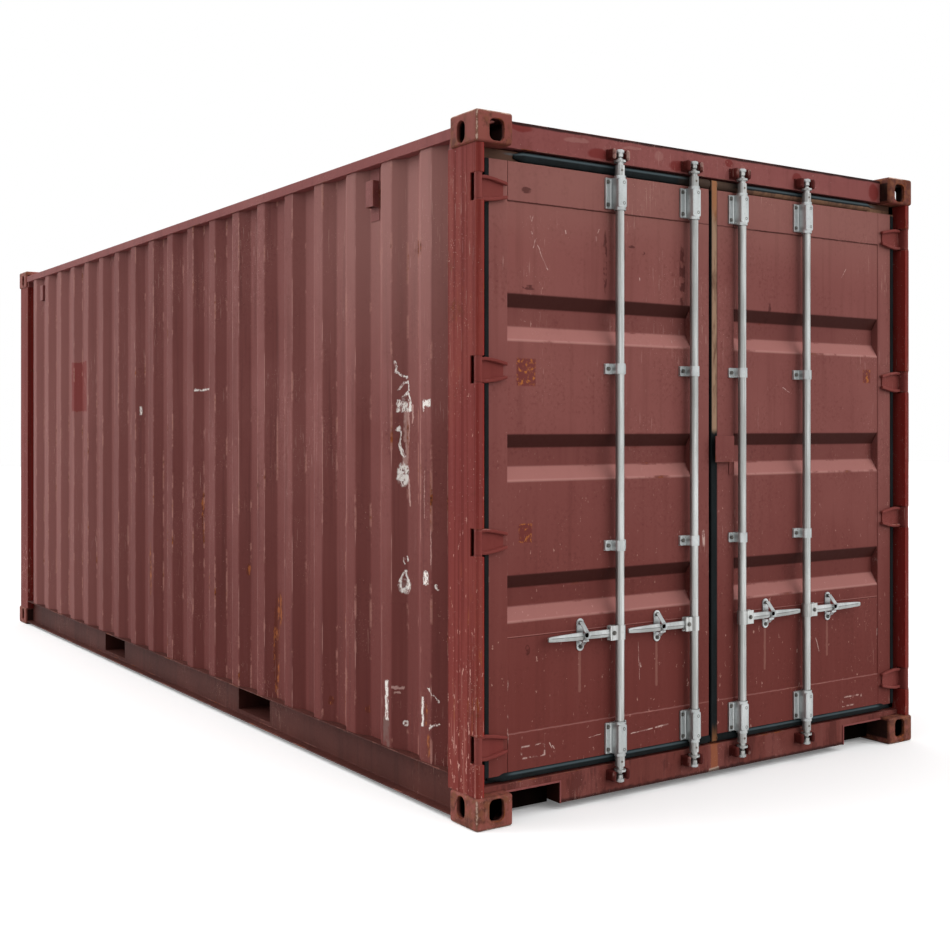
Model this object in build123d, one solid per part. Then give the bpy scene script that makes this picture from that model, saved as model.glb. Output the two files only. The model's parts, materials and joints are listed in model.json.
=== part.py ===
# Twenty foot dry freight container, in millimetres.
# +X points out of the doors, +Y to the right as the doors are faced, +Z up.
# The origin is on the ground, under the middle of the box.
from build123d import *

import os
from math import floor, radians, tan

os.makedirs("parts", exist_ok=True)

# Overall size, over the corner castings
length = 6058
width = 2438
height = 2591

# Corner castings
casting_length = 178
casting_width = 162
casting_height = 118
casting_edge_radius = 6
slot_plate = 28
casting_wall = 20
casting_back_wall = 10
slot_length = 124
slot_width = 63.5
slot_inset_x = 102.5
slot_inset_y = 89.5
hole_height = 79.4
end_hole_width = 63.5
end_hole_radius = 22
side_hole_width = 51

# How far the posts and rails stay behind the castings' faces
post_setback = 7
rail_setback = 6

# Corner posts, folded from plate
post_plate = 6
post_length = 192
post_depth = 42
post_radius = 12
door_cheek_width = 32
end_post_leg = 82
end_post_depth = 57

# Doors and the frame round them
door_setback = 54
door_depth = 50
door_side_gap = 37
door_foot_gap = 32
door_head_gap = 48
stile_width = 100
stile_plate = 3
stile_radius = 5
door_rail_height = 146
door_rail_plate = 4
meeting_gap = 44
seal_lip_gap = 6
seal_meeting_gap = 8
seal_depth = 36
seal_setback = 3
seal_radius = 9

# Door panel, with three folds pressed across it, the middle one a little above halfway
panel_plate = 2.5
panel_setback = 4
fold_depth = 32
fold_flat = 68
fold_slope = 52
fold_pitch = 521
middle_fold_rise = 36

# Header and sill
frame_plate = 5
header_face = 100
header_top_gap = 13
sill_bottom = 27
sill_top = 140
frame_front_setback = 52
rebate_gap = 10
rebate_depth = 80
rebate_lap = 33
sill_cut_width = 252
sill_cut_top = 108

# Closed end
end_member_depth = 60
end_header_height = 96
end_header_top_gap = 15
end_setback = 11
end_wall_setback = 17
end_wall_pitch = 250
end_wall_flat = 107
end_wall_slope = 18
end_wall_depth = 45

# Side rails
bottom_rail_bottom = 18
bottom_rail_top = 174
bottom_rail_flange = 50
rail_plate = 5
top_rail_top_gap = 39
top_rail_height = 42
top_rail_width = 60
top_rail_plate = 4

# Side walls
sheet = 2
wall_setback = 14
wall_pitch = 296
wall_ridge = 76
wall_slope = 70
wall_depth = 36

# Roof
roof_pitch = 209
roof_rib_width = 118
roof_rib_height = 18
roof_rib_slope = 45
roof_rib_end_gap = 85

# Base
floor_bottom = 155
floor_thickness = 28
member_height = 122
member_flange = 45
member_plate = 4
member_pitch = 280
pocket_centre = 1025
pocket_width = 360
pocket_bottom = 43
pocket_top = 152
pocket_plate = 3

# Hinges: the two in the middle at their own heights, the others near the door's ends
middle_hinges = (1034, 1657)
hinge_foot_gap = 115
hinge_head_gap = 114
pin_radius = 7
pin_clearance = 0.05
pin_inset = 15
knuckle_radius = 14
knuckle_height = 88
hinge_notch_height = 100
hinge_notch_reach = 28
hinge_lug_height = 12
hinge_lug_reach = 52
blade_plate = 6
blade_rib = 8
blade_rib_width = 8
blade_reach = 130
blade_bend_gap = 10
blade_tip_height = 54

# Lock bars
bar_radius = 17
bar_wall = 4
bar_setback = 23
bar_offsets = {"inner": 137, "outer": 530}
bar_clearance = 0.1
cam_height = 24
cam_radius = 12
cam_nose = 18
cam_nose_radius = 6
cam_disc_radius = 23
cam_disc = 8
cam_neck_radius = 14
cam_neck = 12
cam_cone = 14
cam_sleeve_radius = 19
cam_sleeve = 40
keeper_from_top = 85
keeper_from_ground = 100
keeper_height = 43
keeper_width = 110
keeper_plate = 5
keeper_gap = 24
keeper_front = 43
keeper_radius = 8

# Brackets that hold the bars to the doors
bearing_height = 120
bearing_foot_gap = 70
bearing_head_gap = 73
guide_height = 40
guide_heights = (990, 1676)
bracket_width = 104
bracket_plate = 6
bracket_wall = 4.5
collar_height = 7
collar_radius = 22

# Handles
handle_height = 655
hub_height = 56
hub_reach = 56
hub_cheek = 6
hub_gap = 1
handle_pivot = 38
handle_pin_radius = 5
handle_thickness = 10
handle_half_height = 14
handle_eye_radius = 13
handle_pinch = 172
handle_pinch_before = 22
handle_pinch_after = 14
handle_pinch_half_height = 10
handle_tip_half_height = 9
handle_length = 350

# Handle retainers
retainer_width = 34
retainer_top = 63
retainer_bottom = 62
retainer_plate = 5
seat_width = 28
seat_height = 8
seat_gap = 0.5

# Plate over the meeting doors
lock_plate_left = 14
lock_plate_right = 92
lock_plate_bottom = 1305
lock_plate_top = 1413
lock_plate_front = 30
lock_plate_thickness = 4
lock_tab_width = 26
lock_tab_height = 54

# Ventilators, in the second valley from the doors and the first from the closed end
vent_plate_width = 70
vent_plate_height = 215
vent_plate = 3
vent_width = 60
vent_height = 107
vent_depth = 28
vent_drop = 53
vent_sheet = 2

# How far a cut or a union runs past the face that it meets
overrun = 1

# Faces and levels that several pieces share
end_x = length / 2
side_y = width / 2
post_face = side_y - post_setback
post_front = end_x - post_setback
post_back = post_front - post_length
cheek_y = post_face - door_cheek_width
cargo_side = post_face - post_depth
casting_inner_x = end_x - casting_length
casting_inner_y = side_y - casting_width
casting_top = height - casting_height
slot_x = end_x - slot_inset_x
slot_y = side_y - slot_inset_y
header_top = height - header_top_gap
header_bottom = header_top - header_face
door_front = end_x - door_setback
door_back = door_front - door_depth
door_edge = cheek_y - door_side_gap
door_bottom = sill_top + door_foot_gap
door_top = header_bottom - door_head_gap
rebate_front = door_back - rebate_gap
rebate_back = rebate_front - rebate_depth
frame_front = end_x - frame_front_setback
floor_top = floor_bottom + floor_thickness
wall_face = side_y - wall_setback
valley_face = wall_face - wall_depth
rail_face = side_y - rail_setback
rail_inner = rail_face - bottom_rail_flange
rail_web_face = rail_inner + rail_plate
pocket_half = pocket_width / 2 + pocket_plate
top_rail_top = height - top_rail_top_gap
top_rail_bottom = top_rail_top - top_rail_height
end_face = end_x - end_setback
end_back = end_face - end_member_depth
end_header_top = height - end_header_top_gap
end_header_bottom = end_header_top - end_header_height
bar_x = end_x - bar_setback
pin_x = post_front - pin_inset
pin_y = post_face - pin_inset
stile_inner = meeting_gap / 2 + stile_width
stile_outer = door_edge - stile_width
panel_front = door_front - panel_setback
panel_bottom = door_bottom + door_rail_height
panel_top = door_top - door_rail_height
middle_fold = (door_bottom + door_top) / 2 + middle_fold_rise
fold_heights = (middle_fold - fold_pitch, middle_fold, middle_fold + fold_pitch)
hinge_heights = (door_bottom + hinge_foot_gap, *middle_hinges, door_top - hinge_head_gap)
bearing_heights = (door_bottom + bearing_foot_gap, door_top - bearing_head_gap)


def block(x, y, z):
    """A box between the lower and upper limits of each axis."""
    spans = (x, y, z)
    middle = [(low + high) / 2 for low, high in spans]
    return Pos(*middle) * Box(*[high - low for low, high in spans])


def face_of(points):
    return make_face(Polyline(*points, close=True))


def along_y(points, y):
    """An outline in X and Z, carried from one Y to another."""
    outline = Plane.XZ * face_of(points)
    return Pos(0, y[1], 0) * extrude(outline, amount=y[1] - y[0])


def along_z(points, z):
    return Pos(0, 0, z[0]) * extrude(face_of(points), amount=z[1] - z[0])


def left_of(shape):
    return mirror(shape, about=Plane.XZ)


def both_sides(name, shape, nodes):
    nodes[f"{name}_right"] = shape
    nodes[f"{name}_left"] = left_of(shape)


def drawn_in(points, inset):
    """The outline a plate's thickness inside the given one."""
    return offset(face_of(points), amount=-inset, kind=Kind.INTERSECTION)


frame = {}


# Corner castings: hollow steel blocks with a slot outside and a hole in each outer face.
def casting():
    low = (casting_inner_x, casting_inner_y, 0)
    shell = block((low[0], end_x), (low[1], side_y), (0, casting_height))
    shell = fillet(shell.edges(), casting_edge_radius)
    hollow = block(
        (low[0] + casting_back_wall, end_x - casting_wall),
        (low[1] + casting_back_wall, side_y - casting_wall),
        (slot_plate, casting_height - casting_back_wall),
    )
    slot = extrude(SlotOverall(slot_length, slot_width), amount=slot_plate)
    slot = Pos(slot_x, slot_y, 0) * slot
    middle = slot_plate + (casting_height - casting_back_wall - slot_plate) / 2
    end_hole = Plane.YZ * RectangleRounded(end_hole_width, hole_height, end_hole_radius)
    end_hole = extrude(end_hole, amount=casting_wall)
    end_hole = Pos(end_x - casting_wall, slot_y, middle) * end_hole
    side_hole = Plane.XZ * Rot(0, 0, 90) * SlotOverall(hole_height, side_hole_width)
    side_hole = extrude(side_hole, amount=casting_wall)
    side_hole = Pos(slot_x, side_y, middle) * side_hole
    return shell - hollow - slot - end_hole - side_hole


one_casting = casting()
lower = [one_casting, left_of(one_casting)]
lower += [mirror(each, about=Plane.YZ) for each in lower]
upper = [mirror(each, about=Plane.XY.offset(height / 2)) for each in lower]
frame["corner_castings"] = Compound(children=lower + upper)


# Corner posts: folded plate, hollow, with the door posts notched for the hinges.
door_post_outline = [
    (post_back, post_face),
    (post_front, post_face),
    (post_front, cheek_y),
    (rebate_front, cheek_y),
    (rebate_front, cargo_side),
    (post_back, cargo_side),
]
end_post_outline = [
    (-post_back, post_face),
    (-post_front, post_face),
    (-post_front, post_face - end_post_leg),
    (-post_front + end_post_depth, post_face - end_post_leg),
    (-post_front + end_post_depth, cargo_side),
    (-post_back, cargo_side),
]
post_span = (casting_height, casting_top)


def folded_post(outline):
    outside = face_of(outline)
    inside = drawn_in(outline, post_plate)
    corner = outside.vertices().sort_by_distance(outline[1])[0]
    inner_corner = inside.vertices().sort_by_distance(outline[1])[0]
    outside = fillet(corner, post_radius)
    inside = fillet(inner_corner, post_radius - post_plate)
    tall = post_span[1] - post_span[0]
    lift = Pos(0, 0, post_span[0])
    return lift * extrude(outside, amount=tall), lift * extrude(inside, amount=tall)


door_post, door_post_void = folded_post(door_post_outline)
end_post, end_post_void = folded_post(end_post_outline)
door_post -= door_post_void
end_post -= end_post_void
for hinge in hinge_heights:
    span = (hinge - hinge_notch_height / 2, hinge + hinge_notch_height / 2)
    corner = (pin_x - hinge_notch_reach, end_x)
    door_post -= block(corner, (cheek_y - overrun, side_y), span)
    behind = (door_front - post_plate, end_x)
    door_post -= block(behind, (cheek_y - overrun, cheek_y + post_plate), span)
both_sides("door_post", door_post, frame)
both_sides("end_post", end_post, frame)


# Hinge lugs inside the post, above and below each notch, and the pins between them.
def hinge_lugs():
    found = []
    for hinge in hinge_heights:
        for side in (-1, 1):
            near = hinge + side * hinge_notch_height / 2
            far = near + side * hinge_lug_height
            piece = door_post_void & block(
                (pin_x - hinge_lug_reach, end_x), (0, side_y), sorted((near, far))
            )
            hole = Cylinder(pin_radius + pin_clearance, 2 * hinge_lug_height)
            found.append(piece - Pos(pin_x, pin_y, (near + far) / 2) * hole)
    return found


def hinge_pins():
    tall = hinge_notch_height + 2 * hinge_lug_height
    return [Pos(pin_x, pin_y, each) * Cylinder(pin_radius, tall) for each in hinge_heights]


right_lugs = hinge_lugs()
right_pins = hinge_pins()
frame["hinge_lugs"] = Compound(children=right_lugs + [left_of(each) for each in right_lugs])
frame["hinge_pins"] = Compound(children=right_pins + [left_of(each) for each in right_pins])


# Door header and sill: box sections with a step that the doors close against.
def stepped_member(outline, span):
    solid = along_y(outline, span)
    inside = Plane.XZ * drawn_in(outline, frame_plate)
    reach = span[1] - span[0]
    return solid - Pos(0, span[1], 0) * extrude(inside, amount=reach)


between_castings = (-casting_inner_y, casting_inner_y)
header_outline = [
    (rebate_back, header_bottom - rebate_lap),
    (rebate_front, header_bottom - rebate_lap),
    (rebate_front, header_bottom),
    (frame_front, header_bottom),
    (frame_front, header_top),
    (rebate_back, header_top),
]
sill_outline = [
    (rebate_back, sill_bottom),
    (frame_front, sill_bottom),
    (frame_front, sill_top),
    (rebate_front, sill_top),
    (rebate_front, floor_top),
    (rebate_back, floor_top),
]
header = stepped_member(header_outline, between_castings)
sill = stepped_member(sill_outline, between_castings)
step = (rebate_back, rebate_front)
for side in (-1, 1):
    out_to = sorted((side * casting_inner_y, side * cargo_side))
    out_to_cheek = sorted((side * casting_inner_y, side * cheek_y))
    header += block(step, out_to, (header_bottom - rebate_lap, casting_top))
    sill += block(step, out_to, (casting_height, floor_top))
    sill += block((rebate_front, frame_front), out_to_cheek, (casting_height, sill_top))
    cut = sorted((side * (casting_inner_y - sill_cut_width), side * casting_inner_y))
    sill -= block((rebate_back, frame_front), cut, (sill_bottom, sill_cut_top))
frame["door_header"] = header
frame["door_sill"] = sill


# Closed end: header, sill and the folded wall between the end posts.
end_span = (-end_face, -end_back)
end_wall_edge = post_face - end_post_leg


def end_member(levels):
    """A box section from casting to casting."""
    core = (levels[0] + frame_plate, levels[1] - frame_plate)
    inner_x = (end_span[0] + frame_plate, end_span[1] - frame_plate)
    return block(end_span, between_castings, levels) - block(inner_x, between_castings, core)


frame["end_header"] = end_member((end_header_bottom, end_header_top))
end_sill = end_member((bottom_rail_bottom, bottom_rail_top))
for side in (-1, 1):
    ears = sorted((side * casting_inner_y, side * end_wall_edge))
    end_sill += block(end_span, ears, (casting_height, bottom_rail_top))
frame["end_sill"] = end_sill


def folded_line(count, pitch, ridge, slope, depth, edge):
    """Points across a folded sheet: ridges at depth 0, valleys at the given depth."""
    points = [(-edge, depth)]
    first = -(count - 1) / 2 * pitch
    for number in range(count):
        middle = first + number * pitch
        points += [
            (middle - ridge / 2 - slope, depth),
            (middle - ridge / 2, 0),
            (middle + ridge / 2, 0),
            (middle + ridge / 2 + slope, depth),
        ]
    return points + [(edge, depth)]


end_ridges = floor(2 * (end_wall_edge - end_wall_slope) / end_wall_pitch)
end_line = folded_line(
    end_ridges, end_wall_pitch, end_wall_flat, end_wall_slope, end_wall_depth, end_wall_edge
)
end_wall_x = -(end_x - end_wall_setback)
outer_line = [(end_wall_x + deep, across) for across, deep in end_line]
inner_line = [(x + sheet, y) for x, y in reversed(outer_line)]
end_wall = along_z(outer_line + inner_line, (bottom_rail_top, end_header_bottom))
corner_gap = block(
    (-end_x, -end_back), (casting_inner_y, side_y), (casting_top, height)
)
frame["end_wall"] = end_wall - corner_gap - left_of(corner_gap)


# Side walls: folded sheet, standing on the bottom rail and reaching the top rail.
wall_ridges = 1 + floor((2 * post_back - wall_ridge - 2 * wall_slope) / wall_pitch)
wall_line = folded_line(
    wall_ridges, wall_pitch, wall_ridge, wall_slope, wall_depth, post_back
)
outer_line = [(along, wall_face - deep) for along, deep in wall_line]
inner_line = [(x, y - sheet) for x, y in reversed(outer_line)]
side_wall = along_z(outer_line + inner_line, (bottom_rail_top, top_rail_bottom))
both_sides("side_wall", side_wall, frame)


# Bottom rails: channels, open outwards. The fork pockets pass through the web.
rail_depth = (rail_inner, rail_face)
bottom_rail = block((-post_back, post_back), rail_depth, (bottom_rail_bottom, bottom_rail_top))
bottom_rail += block(
    (-casting_inner_x, casting_inner_x), rail_depth, (bottom_rail_bottom, casting_height)
)
bottom_rail -= block(
    (-casting_inner_x, casting_inner_x),
    (rail_web_face, rail_face),
    (bottom_rail_bottom + rail_plate, bottom_rail_top - rail_plate),
)
for centre in (-pocket_centre, pocket_centre):
    bottom_rail -= block(
        (centre - pocket_half, centre + pocket_half),
        (rail_inner, rail_web_face),
        (pocket_bottom - pocket_plate, pocket_top + pocket_plate),
    )
both_sides("bottom_rail", bottom_rail, frame)


# Top rails: square tube between the castings, with a filler down to each post.
rail_tube = (rail_face - top_rail_width, rail_face)
top_rail = block(
    (-casting_inner_x, casting_inner_x), rail_tube, (top_rail_bottom, top_rail_top)
)
top_rail -= block(
    (-casting_inner_x, casting_inner_x),
    (rail_tube[0] + top_rail_plate, rail_tube[1] - top_rail_plate),
    (top_rail_bottom + top_rail_plate, top_rail_top - top_rail_plate),
)
for side in (-1, 1):
    filler = sorted((side * post_back, side * casting_inner_x))
    top_rail += block(filler, (cargo_side, wall_face), (casting_top, top_rail_bottom))
both_sides("top_rail", top_rail, frame)


# Roof: one sheet with pressed ribs, lying on the rails between header and end header.
def roof():
    levels = (top_rail_top, top_rail_top + sheet)
    middle = block((-casting_inner_x, rebate_back), (-wall_face, wall_face), levels)
    middle += block((-end_back, -casting_inner_x), between_castings, levels)
    for side in (-1, 1):
        ears = sorted((side * casting_inner_y, side * wall_face))
        middle += block((rebate_back, casting_inner_x), ears, levels)
    usable = rebate_back + casting_inner_x
    count = floor(usable / roof_pitch)
    first = (rebate_back - casting_inner_x) / 2 - (count - 1) / 2 * roof_pitch
    rib_length = 2 * (wall_face - roof_rib_end_gap)
    rise = tan(radians(roof_rib_slope))
    for number in range(count):
        place = Pos(first + number * roof_pitch, 0, top_rail_top)
        outside = Pos(0, 0, sheet) * Rectangle(roof_rib_width, rib_length)
        inside = Rectangle(roof_rib_width - 2 * sheet * rise, rib_length - 2 * sheet * rise)
        middle += place * extrude(outside, amount=roof_rib_height, taper=roof_rib_slope)
        middle -= place * extrude(inside, amount=roof_rib_height, taper=roof_rib_slope)
    return middle


frame["roof_panel"] = roof()


# Base: plywood floor on cross members, with two fork pockets through the rails.
frame["floor"] = block(
    (-end_back, rebate_back), (-rail_inner, rail_inner), (floor_bottom, floor_top)
)


def cross_member():
    levels = (floor_bottom - member_height, floor_bottom)
    wide = (-member_flange / 2, member_flange / 2)
    member = block(wide, (-rail_inner, rail_inner), levels)
    return member - block(
        (wide[0] + member_plate, wide[1]),
        (-rail_inner, rail_inner),
        (levels[0] + member_plate, levels[1] - member_plate),
    )


one_member = cross_member()
member_count = 2 * floor((post_back - member_flange) / member_pitch)
member_places = [
    (number - (member_count - 1) / 2) * member_pitch for number in range(member_count)
]
pocket_clear = pocket_half + member_flange / 2
frame["cross_members"] = Compound(
    children=[
        Pos(place, 0, 0) * one_member
        for place in member_places
        if abs(abs(place) - pocket_centre) > pocket_clear
    ]
)


def fork_pocket(centre):
    reach = (-rail_web_face, rail_web_face)
    tube = block(
        (centre - pocket_half, centre + pocket_half),
        reach,
        (pocket_bottom - pocket_plate, pocket_top + pocket_plate),
    )
    inner = pocket_width / 2
    return tube - block((centre - inner, centre + inner), reach, (pocket_bottom, pocket_top))


frame["fork_pockets"] = Compound(
    children=[fork_pocket(-pocket_centre), fork_pocket(pocket_centre)]
)


# Ventilators: a plate in a wall's valley with a cover, open below, near each end.
def ventilator(centre):
    half = vent_plate_width / 2
    plate_front = valley_face + vent_plate
    plate = block(
        (centre - half, centre + half),
        (valley_face, plate_front),
        (top_rail_bottom - vent_plate_height, top_rail_bottom),
    )
    half = vent_width / 2
    top = top_rail_bottom - vent_drop
    cover = block(
        (centre - half, centre + half),
        (plate_front, plate_front + vent_depth),
        (top - vent_height, top),
    )
    half -= vent_sheet
    cover -= block(
        (centre - half, centre + half),
        (plate_front, plate_front + vent_depth - vent_sheet),
        (top - vent_height, top - vent_sheet),
    )
    return plate + cover


last_ridge = (wall_ridges - 1) / 2 * wall_pitch
vent_centres = (last_ridge - 1.5 * wall_pitch, 0.5 * wall_pitch - last_ridge)
right_vents = [ventilator(centre) for centre in vent_centres]
frame["ventilators"] = Compound(
    children=right_vents + [left_of(each) for each in right_vents]
)


# Keepers: a plate with two jaws beside each cam, open to the front.
def keeper(across, level):
    half = keeper_width / 2
    levels = (level - keeper_height / 2, level + keeper_height / 2)
    plate = (frame_front, frame_front + keeper_plate)
    piece = block(plate, (across - half, across + half), levels)
    for side in (-1, 1):
        jaw = block(
            (frame_front + keeper_plate / 2, frame_front + keeper_front),
            sorted((across + side * keeper_gap, across + side * half)),
            levels,
        )
        front = jaw.faces().sort_by(Axis.X)[-1].edges()
        piece += fillet(front, keeper_radius)
    return piece


keeper_levels = (keeper_from_ground, height - keeper_from_top)
keepers = [
    keeper(side * across, level)
    for level in keeper_levels
    for side in (-1, 1)
    for across in bar_offsets.values()
]
frame["cam_keepers"] = Compound(children=keepers)


# Doors: two hollow stiles, a channel above and below, and a folded panel.
door = {}


def stile(near):
    post = block((door_back, door_front), (near, near + stile_width), (door_bottom, door_top))
    core = block(
        (door_back + stile_plate, door_front - stile_plate),
        (near + stile_plate, near + stile_width - stile_plate),
        (door_bottom, door_top),
    )
    return fillet(post.edges().filter_by(Axis.Z), stile_radius) - core


def door_rail(bottom):
    levels = (bottom, bottom + door_rail_height)
    across = (stile_inner, stile_outer)
    channel = block((door_back, door_front), across, levels)
    return channel - block(
        (door_back, door_front - door_rail_plate),
        across,
        (levels[0] + door_rail_plate, levels[1] - door_rail_plate),
    )


def door_panel():
    front = [(panel_front, panel_bottom)]
    for middle in fold_heights:
        edge = fold_flat / 2 + fold_slope
        front += [
            (panel_front, middle - edge),
            (panel_front - fold_depth, middle - fold_flat / 2),
            (panel_front - fold_depth, middle + fold_flat / 2),
            (panel_front, middle + edge),
        ]
    front.append((panel_front, panel_top))
    back = [(x - panel_plate, z) for x, z in reversed(front)]
    return along_y(front + back, (stile_inner, stile_outer))


door["stiles"] = Compound(children=[stile(meeting_gap / 2), stile(stile_outer)])
door["rails"] = Compound(children=[door_rail(door_bottom), door_rail(panel_top)])
door["panel"] = door_panel()


# Door seals: rubber round each door. The right one also fills the gap where they meet.
seal_front = door_front - seal_setback
seal_span = (seal_front - seal_depth, seal_front)
seal_outer = cheek_y - seal_lip_gap
seal_levels = (sill_top + seal_lip_gap, header_bottom - seal_lip_gap)


def seal(meeting, ring_meeting):
    rubber = block(seal_span, (meeting, seal_outer), seal_levels)
    rim = rubber.faces().sort_by(Axis.X)[-1].edges()
    rubber = fillet(rim, seal_radius)
    return rubber - block(seal_span, (ring_meeting, door_edge), (door_bottom, door_top))


seal_meeting = seal_meeting_gap - meeting_gap / 2
right_seal = seal(seal_meeting, meeting_gap / 2)
left_seal = left_of(seal(meeting_gap / 2, meeting_gap / 2))


# Hinge blades: a knuckle on the pin and a ribbed strap on the door's outer stile.
def hinge_blade(level):
    half = knuckle_height / 2
    tip = blade_tip_height / 2
    tip_y = pin_y - blade_reach
    bend_y = door_edge + blade_bend_gap
    strap = Polyline(
        (pin_y, half), (bend_y, half), (tip_y, tip), (tip_y, -tip), (bend_y, -half), (pin_y, -half),
        close=True,
    )
    outline = Plane.YZ * make_face(strap)
    plate_front = door_front + blade_plate
    blade = Pos(door_front, 0, 0) * extrude(outline, amount=blade_plate)
    ribs = Pos(plate_front, 0, 0) * extrude(outline, amount=blade_rib)
    trimmed = Polyline(
        (pin_y + overrun, half - blade_rib_width),
        (bend_y, half - blade_rib_width),
        (tip_y - overrun, tip - blade_rib_width),
        (tip_y - overrun, blade_rib_width - tip),
        (bend_y, blade_rib_width - half),
        (pin_y + overrun, blade_rib_width - half),
        close=True,
    )
    between = Plane.YZ * make_face(trimmed)
    ribs -= Pos(plate_front, 0, 0) * extrude(between, amount=blade_rib)
    web = block(
        (door_front, pin_x), (pin_y - knuckle_radius, pin_y - knuckle_radius / 2), (-half, half)
    )
    inside_notch = block(
        (door_front, pin_x), (pin_y - knuckle_radius / 2, pin_y + overrun), (-half, half)
    )
    blade = blade + ribs - inside_notch + web
    blade += Pos(pin_x, pin_y, 0) * Cylinder(knuckle_radius, knuckle_height)
    blade -= Pos(pin_x, pin_y, 0) * Cylinder(pin_radius + pin_clearance, knuckle_height)
    return Pos(0, 0, level) * blade


door["hinge_blades"] = Compound(children=[hinge_blade(level) for level in hinge_heights])


# Bar brackets: bearings at the ends of each bar and plain guides between them.
bracket_bore = bar_radius + bar_clearance
bracket_radius = bracket_bore + bracket_wall


def bar_bracket(across, level, tall):
    half = bracket_width / 2
    levels = (level - tall / 2, level + tall / 2)
    flange = block(
        (door_front, door_front + bracket_plate), (across - half, across + half), levels
    )
    corners = flange.edges().filter_by(Axis.X)
    bracket = fillet(corners, bracket_plate)
    if panel_bottom < level < panel_top:
        on_panel = (max(across - half, stile_inner), across + half)
        bracket += block((panel_front, door_front), on_panel, levels)
    bracket += block(
        (door_front, bar_x), (across - bracket_radius, across + bracket_radius), levels
    )
    place = Pos(bar_x, across, level)
    bracket += place * Cylinder(bracket_radius, tall)
    if tall > guide_height:
        bracket += place * Cylinder(collar_radius, tall + 2 * collar_height)
    return bracket - place * Cylinder(bracket_bore, tall + 4 * collar_height)


brackets = []
for across in bar_offsets.values():
    brackets += [bar_bracket(across, level, bearing_height) for level in bearing_heights]
    brackets += [bar_bracket(across, level, guide_height) for level in guide_heights]
door["bar_brackets"] = Compound(children=brackets)


# Handle retainers: a bolted plate with a seat that carries the handle from below.
def retainer(across):
    middle = across + handle_pinch
    tall = retainer_top + retainer_bottom
    centre = handle_height + (retainer_top - retainer_bottom) / 2
    plate = Plane.YZ * Rot(0, 0, 90) * SlotOverall(tall, retainer_width)
    plate = Pos(panel_front, middle, centre) * extrude(plate, amount=retainer_plate)
    seat_top = handle_height - handle_half_height - seat_gap
    seat = block(
        (panel_front, bar_x + handle_thickness / 2),
        (middle - seat_width / 2, middle + seat_width / 2),
        (seat_top - seat_height, seat_top),
    )
    return plate + seat


door["handle_retainers"] = Compound(
    children=[retainer(across) for across in bar_offsets.values()]
)


# Cover plate over the meeting doors, carried by the right door.
def lock_plate():
    front = (door_front + lock_plate_front - lock_plate_thickness, door_front + lock_plate_front)
    levels = (lock_plate_bottom, lock_plate_top)
    across = (-lock_plate_left, lock_plate_right)
    plate = block(front, across, levels)
    box = (door_front, front[1])
    on_stile = meeting_gap / 2 + stile_radius
    plate += block(box, (lock_plate_right - lock_plate_thickness, lock_plate_right), levels)
    plate += block(box, (on_stile, lock_plate_right), (levels[1] - lock_plate_thickness, levels[1]))
    tab_bottom = lock_plate_bottom - lock_tab_height
    plate += block(
        (door_front, door_front + lock_plate_thickness),
        (lock_plate_right - lock_plate_thickness, lock_plate_right + lock_tab_width),
        (tab_bottom, lock_plate_bottom + lock_plate_thickness),
    )
    return plate


# Lock bars: a tube with a cam forged on each end and a hub for the handle.
def cam(start, side):
    """The turned end of a bar, from a bearing's collar outwards to the cam's face."""
    marks = [0]
    for stretch in (cam_sleeve, cam_neck, cam_disc, cam_cone, cam_height):
        marks.append(marks[-1] + stretch)
    outline = Polyline(
        (0, marks[0]),
        (cam_sleeve_radius, marks[0]),
        (cam_sleeve_radius, marks[1]),
        (cam_neck_radius, marks[1]),
        (cam_neck_radius, marks[2]),
        (cam_disc_radius, marks[2]),
        (cam_disc_radius, marks[3]),
        (cam_neck_radius, marks[3]),
        (cam_nose_radius, marks[4]),
        (cam_radius, marks[4]),
        (cam_radius, marks[5]),
        (0, marks[5]),
        close=True,
    )
    turned = revolve(Plane.XZ * make_face(outline), Axis.Z)
    nose_x = cam_nose_radius - cam_nose
    tip = Pos(nose_x, 0) * Circle(cam_nose_radius)
    nose = make_hull(Circle(cam_radius).edges() + tip.edges())
    turned += Pos(0, 0, marks[4]) * extrude(nose, amount=cam_height)
    if side < 0:
        turned = mirror(turned, about=Plane.XY)
    return Pos(0, 0, start) * turned


def lock_bar(across, outwards):
    ends = (
        bearing_heights[0] - bearing_height / 2 - collar_height,
        bearing_heights[1] + bearing_height / 2 + collar_height,
    )
    run = ends[1] - ends[0]
    tube = Cylinder(bar_radius, run) - Cylinder(bar_radius - bar_wall, run)
    bar = Pos(0, 0, (ends[0] + ends[1]) / 2) * tube
    bar += cam(ends[0], -1)
    bar += cam(ends[1], 1)
    cheek_front = handle_thickness / 2 + hub_gap + hub_cheek
    half = hub_height / 2
    reach = sorted((0, outwards * hub_reach))
    hub = block((-cheek_front, cheek_front), reach, (-half, half))
    slot_reach = sorted((outwards * bar_radius, outwards * (hub_reach + overrun)))
    slot_half = handle_thickness / 2 + hub_gap
    hub -= block((-slot_half, slot_half), slot_reach, (-half, half))
    hub += Cylinder(bar_radius + bar_wall, hub_height)
    hub -= Cylinder(bar_radius - bar_wall, hub_height)
    pin = Rot(0, 90, 0) * Cylinder(handle_pin_radius, 2 * cheek_front)
    hub += Pos(0, outwards * handle_pivot, 0) * pin
    bar += Pos(0, 0, handle_height) * hub
    return Pos(bar_x, across, 0) * bar


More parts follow.
